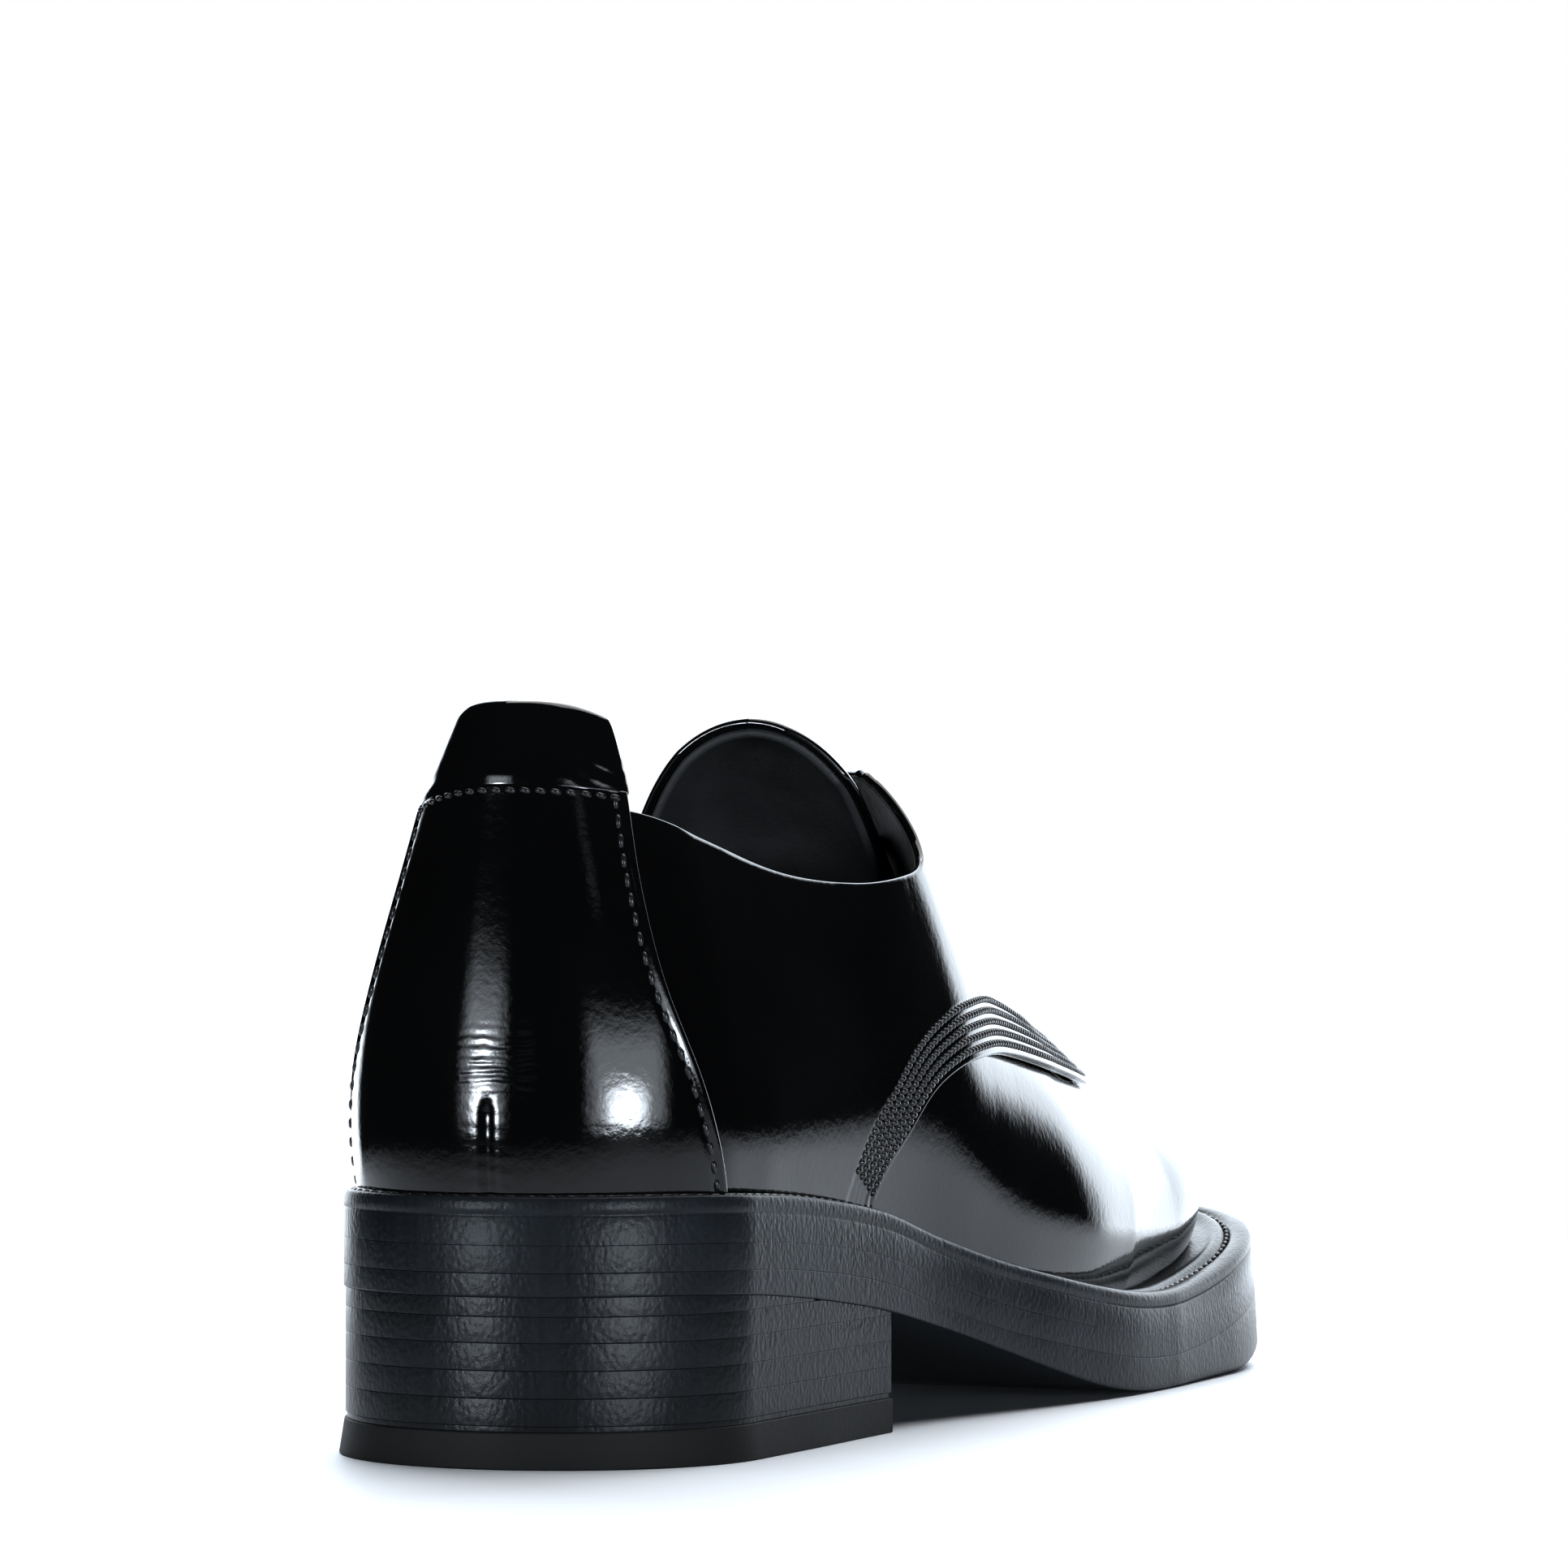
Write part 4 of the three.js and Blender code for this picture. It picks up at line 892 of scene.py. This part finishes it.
LINING = 1.3
LINING_OUT = -3.9
rear_half = np.concatenate([np.linspace(0, S_REAR, 50), s_at(1, np.linspace(REAR_Y, 119.6, 60))[1:]])
lining_s = np.concatenate([-rear_half[::-1], rear_half[1:]])
lining_y = upper_point(lining_s, 0.7)[:, 1]
lining_top = t_at_height(lining_s, np.minimum(top_line(lining_y), np.where(lining_y < 60, 98, 89)) - 0.4)
lining_t = 0.02 + (lining_top - 0.02)[:, None] * np.linspace(0, 1, 50)[None]
lining_s = np.repeat(lining_s[:, None], 50, 1)
below_top = upper_point(lining_s[:, -1], lining_t[:, -1])[:, None, 2] - upper_point(lining_s, lining_t)[..., 2]
lining_out = LINING_OUT + (-LEATHER - 0.05 - LINING_OUT) * np.clip(1.6 - below_top / 9, 0, 1)
back_lining = leather("heel_lining", lining_s, lining_t, lining_out - LINING, lining_out, lining.material, 0.3)
fasten(back_lining, "quarter_lining")

for side, label in ((1, "outer"), (-1, "inner")):
    s, t = quarter_grid(side)
    facing_columns = (np.abs(s[:, 0]) > s_at(1, 88)) & (np.abs(s[:, 0]) < s_at(1, 160))
    facing_t = t[facing_columns][:, 26:] - 0.004
    facing = leather(f"facing_lining_{label}", s[facing_columns][:, 26:], facing_t, -LEATHER - 0.35, -LEATHER - 0.02,
                     lining.material, 0.3)
    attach(facing, "shoe")

VAMP_LINING_REAR_Y = 122
VAMP_LINING_OUT = -5.5
vamp_lining_top = through((VAMP_LINING_REAR_Y, 0.42), (170, 0.44), (196, 0.46), (205, 0.5), (FRONT_Y, 1))
fore_half = np.concatenate([s_at(1, np.linspace(VAMP_LINING_REAR_Y, FRONT_Y, 60)), toe_turn[::2]])
fore_s = np.concatenate([fore_half, -fore_half[::-1][1:]])
fore_high = np.where(np.abs(fore_s) > S_FRONT, 1.0, np.minimum(1, vamp_lining_top(y_at(np.abs(fore_s)))))
fore_t = 0.02 + (fore_high - 0.02)[:, None] * np.linspace(0, 1, 36)[None]
fore_lining = leather("forefoot_lining", np.repeat(fore_s[:, None], 36, 1), fore_t, VAMP_LINING_OUT - LINING,
                      VAMP_LINING_OUT, lining.material, 0.2)
fasten(fore_lining, "vamp_lining")


def sock_ring(extra, lift):
    plan = plan_ring(lambda y: feather_inset(y) + 7.3 + extra)
    return np.column_stack([plan, welt_top(plan[:, 1]) + 0.3 + lift])


sock_rings = [sock_ring(0, 0), sock_ring(-0.1, 0.7), sock_ring(0.1, 1.2), sock_ring(0.6, 1.4)]
sock = make_mesh("sock_leather", np.concatenate(sock_rings), loft_faces(4, len(sock_rings[0]), False),
                 lining.material)
fasten(sock, "sock_liner")


# ---------------------------------------------------------------- tongue
# The tongue is patent leather with a lining behind it, sewn under the vamp at the throat. Its free end
# stands above the facings with a soft rolled edge.
TONGUE_HINGE_Y = 200
TONGUE_TOP_Y = 99
TONGUE_OUT = -4.5


def tongue_grid(half_width, top_y):
    """Columns and rows of the tongue: narrow at the hinge, round at its free end, wider on the inner side."""
    ys = np.concatenate([top_y + np.linspace(0, 1, 40) ** 2 * 11, np.linspace(top_y + 11, TONGUE_HINGE_Y, 60)[1:]])
    spread = 0.55 + 0.45 * np.minimum(1, (TONGUE_HINGE_Y - ys) / 50)
    outer = half_width * spread * np.minimum(1, np.sqrt((ys - top_y + 2.5) / 8))
    inner = (half_width + 9) * spread * np.minimum(1, np.sqrt((ys - top_y + 1.4) / 10))
    run = np.linspace(0, 1, 26)
    outer_t = t_at_centre(s_at(1, ys), outer)
    inner_t = t_at_centre(s_at(-1, ys), inner)
    s = np.concatenate([np.repeat(s_at(side, ys)[:, None], count, 1) for side, count in ((1, 26), (-1, 25))], 1)
    t = np.concatenate([outer_t[:, None] + (1 - outer_t)[:, None] * run[None],
                        (inner_t[:, None] + (1 - inner_t)[:, None] * run[None])[:, ::-1][:, 1:]], 1)
    return s, t


s, t = tongue_grid(23, TONGUE_TOP_Y)
tongue = leather("tongue_leather", s, t, TONGUE_OUT - LEATHER, TONGUE_OUT, patent, 0.7)
fasten(tongue, "tongue", "tongue")
s, t = tongue_grid(22.6, TONGUE_TOP_Y + 0.7)
tongue_back = leather("tongue_back", s, t, TONGUE_OUT - LEATHER - 1.6, TONGUE_OUT - LEATHER - 0.05,
                      lining.material, 0.5)
fasten(tongue_back, "tongue_lining", "tongue")


# ---------------------------------------------------------------- eyelets
# Four pairs of turned brass eyelets under black enamel hold the lace. Each barrel goes through the facing and
# its rolled flange lies on the outside.
EYELET_YS = (190, 169.33, 148.67, 128)
EYELET_MARGIN = 6.8
# radius and height above the leather, round the turned metal
EYELET_SECTION = [(1.5, -1.8), (1.5, 0.55), (1.58, 0.82), (1.8, 0.98), (2.3, 1.0), (2.9, 0.93), (3.35, 0.72),
                  (3.6, 0.4), (3.6, 0.12), (2.0, 0.05), (2.0, -1.8)]
EYELET_SIDES = 40
enamel = Finish("eyelet_enamel", Metallic=0.0, IOR=1.5)
worn = enamel.noise(700, 3)
enamel.set(Base_Color=enamel.tint(enamel.band(worn, 0.66, 0.74), (0.010, 0.010, 0.011), (0.16, 0.12, 0.06)))
enamel.set(Roughness=0.22 + 0.2 * worn, Metallic=enamel.band(worn, 0.66, 0.74))
enamel.emboss(worn, 0.00002)


def facing_place(side, y, reach=EYELET_MARGIN):
    """The point and normal of the upper at y, one reach in from the facing's edge."""
    s = s_at(side, np.array([y]))
    t = t_at_centre(s, facing_half(np.array([y])) + reach)
    return upper_point(s, t)[0], upper_normal(s, t)[0]


def circle(sides, across_way, other_way):
    """Points once round a circle of radius 1 in the plane of two directions."""
    turns = np.linspace(0, 2 * math.pi, sides + 1)[:-1, None]
    return np.cos(turns) * across_way + np.sin(turns) * other_way


for side, label in ((1, "outer"), (-1, "inner")):
    for k, y in enumerate(EYELET_YS):
        centre, up = facing_place(side, y)
        aside = np.cross(up, (0, 1, 0))
        aside /= np.linalg.norm(aside)
        forward = np.cross(up, aside)
        rings = [centre + r * circle(EYELET_SIDES, aside, forward) + h * up for r, h in EYELET_SECTION]
        ring = make_mesh(f"eyelet_{label}_ring_{k + 1}", np.concatenate(rings),
                         loft_faces(len(rings), EYELET_SIDES, True), enamel.material, 50)
        fasten(ring, f"eyelet_{label}_{k + 1}")


# ---------------------------------------------------------------- lace
# One round lace of waxed, braided cotton closes the facings in straight bars. It is held by the eyelets and
# both its ends are tucked under the facings.
LACE_RADIUS = 0.9
LACE_SIDES = 14
LACE_TAIL = 9
LACE_OVER = 2.1
LACE_UNDER = -3.0


def laid_point(side, y, depth, reach=EYELET_MARGIN):
    point, normal = facing_place(side, y, reach)
    return point + normal * depth


depths = [LACE_UNDER + 0.5, -1.8, 0, 1.3]
reaches = [EYELET_MARGIN - 2.6, EYELET_MARGIN / 2, 0.5]
route = [laid_point(-1, EYELET_YS[0] - tail, LACE_UNDER) for tail in (LACE_TAIL, LACE_TAIL / 2)]
side = -1
for k, y in enumerate(EYELET_YS):
    route += [laid_point(side, y, depth) for depth in depths]
    near = [laid_point(side, y, LACE_OVER, reach) for reach in reaches]
    far = [laid_point(-side, y, LACE_OVER, reach) for reach in reaches[::-1]]
    route += [*near, (near[2] + far[0]) / 2 + (0, 0, 0.8), *far]
    side = -side
    route += [laid_point(side, y, depth) for depth in depths[::-1]]
    after = EYELET_YS[k + 1] if k + 1 < len(EYELET_YS) else y + 1.5 * LACE_TAIL
    route += [laid_point(side, y + (after - y) * share, LACE_UNDER) for share in (0.25, 0.75)]
route = np.array(route)
tangents = np.gradient(route, axis=0)
line = []
for k in range(len(route) - 1):
    for u in np.linspace(0, 1, 9)[:-1]:
        line.append((1 + 2 * u) * (1 - u) ** 2 * route[k] + u * (1 - u) ** 2 * tangents[k]
                    + u * u * (3 - 2 * u) * route[k + 1] + u * u * (u - 1) * tangents[k + 1])
line = np.array(line + [route[-1]])
heading = np.gradient(line, axis=0)
heading /= np.linalg.norm(heading, axis=1)[:, None]
aside = np.cross(heading[0], (0, 0, 1.0))
rings = []
for spot, ahead in zip(line, heading):
    aside = aside - ahead * np.dot(aside, ahead)
    aside /= np.linalg.norm(aside)
    above = np.cross(ahead, aside)
    rings.append(spot + LACE_RADIUS * circle(LACE_SIDES, aside, above))
waxed = Finish("waxed_cotton", IOR=1.45)
yarn = waxed.cells(2400, "SMOOTH_F1")
fuzz = waxed.noise(4000, 3)
waxed.set(Base_Color=waxed.tint(fuzz, (0.006, 0.006, 0.007), (0.020, 0.020, 0.021)))
waxed.set(Roughness=0.5 + 0.2 * fuzz)
waxed.emboss(yarn + fuzz * 0.4, 0.00018)
lace = make_mesh("round_lace", np.concatenate(rings), loft_faces(len(rings), LACE_SIDES, False), waxed.material,
                 60)
fasten(lace, "lace")


# ---------------------------------------------------------------- pieces inside the shoe
# Four nails, a steel shank, the cork filler, the insole board and the stiffeners of heel and toe are shut in when
# the shoe is made. They keep the frame's own shapes, and only their finishes are made here.
def hidden_finish(name, dark, light, roughness, scale, depth, metallic=0.0, stretch=(1, 1, 1)):
    finish = Finish(name, Metallic=metallic, IOR=1.5)
    fleck = finish.noise(scale, 4, 0.6, stretch)
    patch = finish.noise(scale / 8, 2)
    finish.set(Base_Color=finish.tint(finish.band(fleck * 0.7 + patch * 0.3, 0.35, 0.65), dark, light))
    finish.set(Roughness=roughness + 0.2 * (patch - 0.5))
    finish.emboss(fleck, depth)
    return finish.material


nail_steel = hidden_finish("nail_steel", (0.30, 0.30, 0.31), (0.45, 0.45, 0.46), 0.35, 1500, 0.00002, 1.0,
                           (1, 1, 0.1))
shank_steel = hidden_finish("shank_steel", (0.25, 0.26, 0.27), (0.42, 0.43, 0.44), 0.32, 1200, 0.00002, 1.0,
                            (1, 0.05, 1))
cork = hidden_finish("cork_filler", (0.14, 0.075, 0.035), (0.46, 0.30, 0.16), 0.85, 700, 0.0003)
board = hidden_finish("insole_board", (0.22, 0.14, 0.08), (0.36, 0.25, 0.15), 0.8, 1600, 0.00012)
stiffener = hidden_finish("stiffener_board", (0.30, 0.27, 0.22), (0.42, 0.38, 0.31), 0.8, 1300, 0.0001)
for node, finish in [*((f"heel_nail_{k}", nail_steel) for k in range(1, 5)), ("shank", shank_steel),
                     ("filler", cork), ("insole_board", board), ("heel_counter", stiffener),
                     ("toe_puff", stiffener)]:
    for slot in bpy.data.objects[node].material_slots:
        slot.material = finish


# ---------------------------------------------------------------- studio
# A pale floor that fades out before its edge, one broad box overhead, and soft boxes far off all round: a
# white wall ahead, and two boxes behind the camera that draw the highlights on the heel.
FLOOR_RADIUS = 1.6
FLOOR_SOLID, FLOOR_GONE = 0.22, 0.55
floor_mesh = bpy.data.meshes.new("studio_floor")
around = np.linspace(0, 2 * math.pi, 97)[:-1]
floor_mesh.from_pydata([(FLOOR_RADIUS * math.cos(a), FLOOR_RADIUS * math.sin(a), 0) for a in around], [],
                       [tuple(range(96))])
floor = bpy.data.objects.new("studio_floor", floor_mesh)
bpy.context.scene.collection.objects.link(floor)
pale = Finish("pale_floor", Base_Color=(0.86, 0.9, 0.95, 1))
x, y, _ = pale.split()
away = (x * x + y * y).math("SQRT")
dust = pale.noise(40, 3)
pale.set(Alpha=1 - pale.band(away, FLOOR_SOLID, FLOOR_GONE), Roughness=0.5 + 0.1 * dust)
floor_mesh.materials.append(pale.material)

overhead = bpy.data.lights.new("overhead_box", "AREA")
overhead.shape = "RECTANGLE"
overhead.size = overhead.size_y = 1.5
overhead.energy = 34
overhead_box = bpy.data.objects.new("overhead_box", overhead)
overhead_box.location = (0.1, 0.35, 1.5)
overhead_box.rotation_euler = (math.radians(-12), math.radians(4), 0)
bpy.context.scene.collection.objects.link(overhead_box)

CAMERA_AZIMUTH = math.radians(22)
world = bpy.data.worlds.new("studio")
bpy.context.scene.world = world
world.use_nodes = True
world.node_tree.nodes.clear()
room = Nodes(world.node_tree, "Generated")
x, y, z = room.split()
ahead_share = y * math.cos(CAMERA_AZIMUTH) - x * math.sin(CAMERA_AZIMUTH)
right_share = x * math.cos(CAMERA_AZIMUTH) + y * math.sin(CAMERA_AZIMUTH)
# degrees right of straight ahead, and above the floor
bearing = right_share.math("ARCTAN2", ahead_share) * math.degrees(1)
rise = z.math("ARCSINE") * math.degrees(1)


def glow(middle, half, soft, low, low_soft, high, high_soft, power):
    """A soft box on the horizon: its bearing, half width and blur, and where it starts and ends upward."""
    beside = (bearing - middle).math("ABSOLUTE")
    across_box = 1 - room.band(beside, half - soft, half + soft)
    above = room.band(rise, low - low_soft, low + low_soft)
    up_box = above * (1 - room.band(rise, high - high_soft, high + high_soft))
    return across_box * up_box * power


boxes = (
    glow(4, 39, 4, -20, 4, 48, 14, 4.4)
    + glow(-136, 4, 5, -3, 3, 6, 4, 52)
    + glow(-136, 11, 5, -3, 3, 14, 5, 6)
    + glow(147, 8, 8, -4, 2, 2.5, 3, 44)
    + glow(146, 20, 5, -4.5, 1.5, 12, 4, 5)
    + glow(-160, 4, 3, 4, 2, 9, 3, 0.2)
    + glow(154, 3, 2, 24.5, 1, 26, 1, 0.7)
    + 0.010)
seen = room.node("ShaderNodeBackground", Color=(1, 1, 1, 1), Strength=1.0)
lit = room.node("ShaderNodeBackground", Color=(0.86, 0.93, 1, 1), Strength=boxes)
camera_ray = room.node("ShaderNodeLightPath")
shown = room.node("ShaderNodeMixShader", _0=camera_ray, _1=lit, _2=seen)
output = world.node_tree.nodes.new("ShaderNodeOutputWorld")
world.node_tree.links.new(shown.socket, output.inputs[0])

CAMERA_DISTANCE = 859
CAMERA_SIDE = 44.5
CAMERA_HEIGHT = 80
CAMERA_PITCH = math.radians(1.438)
LENS = 132.9
camera_data = bpy.data.cameras.new("camera")
camera = bpy.data.objects.new("camera", camera_data)
bpy.context.scene.collection.objects.link(camera)
ahead = Vector((-math.sin(CAMERA_AZIMUTH), math.cos(CAMERA_AZIMUTH), 0))
right = Vector((math.cos(CAMERA_AZIMUTH), math.sin(CAMERA_AZIMUTH), 0))
spot = -CAMERA_DISTANCE * ahead + CAMERA_SIDE * right
camera.location = Vector(place((spot.x, spot.y, CAMERA_HEIGHT)))
camera.rotation_euler = (math.pi / 2 + CAMERA_PITCH, 0, CAMERA_AZIMUTH)
camera_data.sensor_width = 36
camera_data.lens = LENS
camera_data.clip_start = 0.05
bpy.context.scene.camera = camera
bpy.context.scene.view_settings.view_transform = "Standard"
bpy.context.scene.view_settings.gamma = 0.82
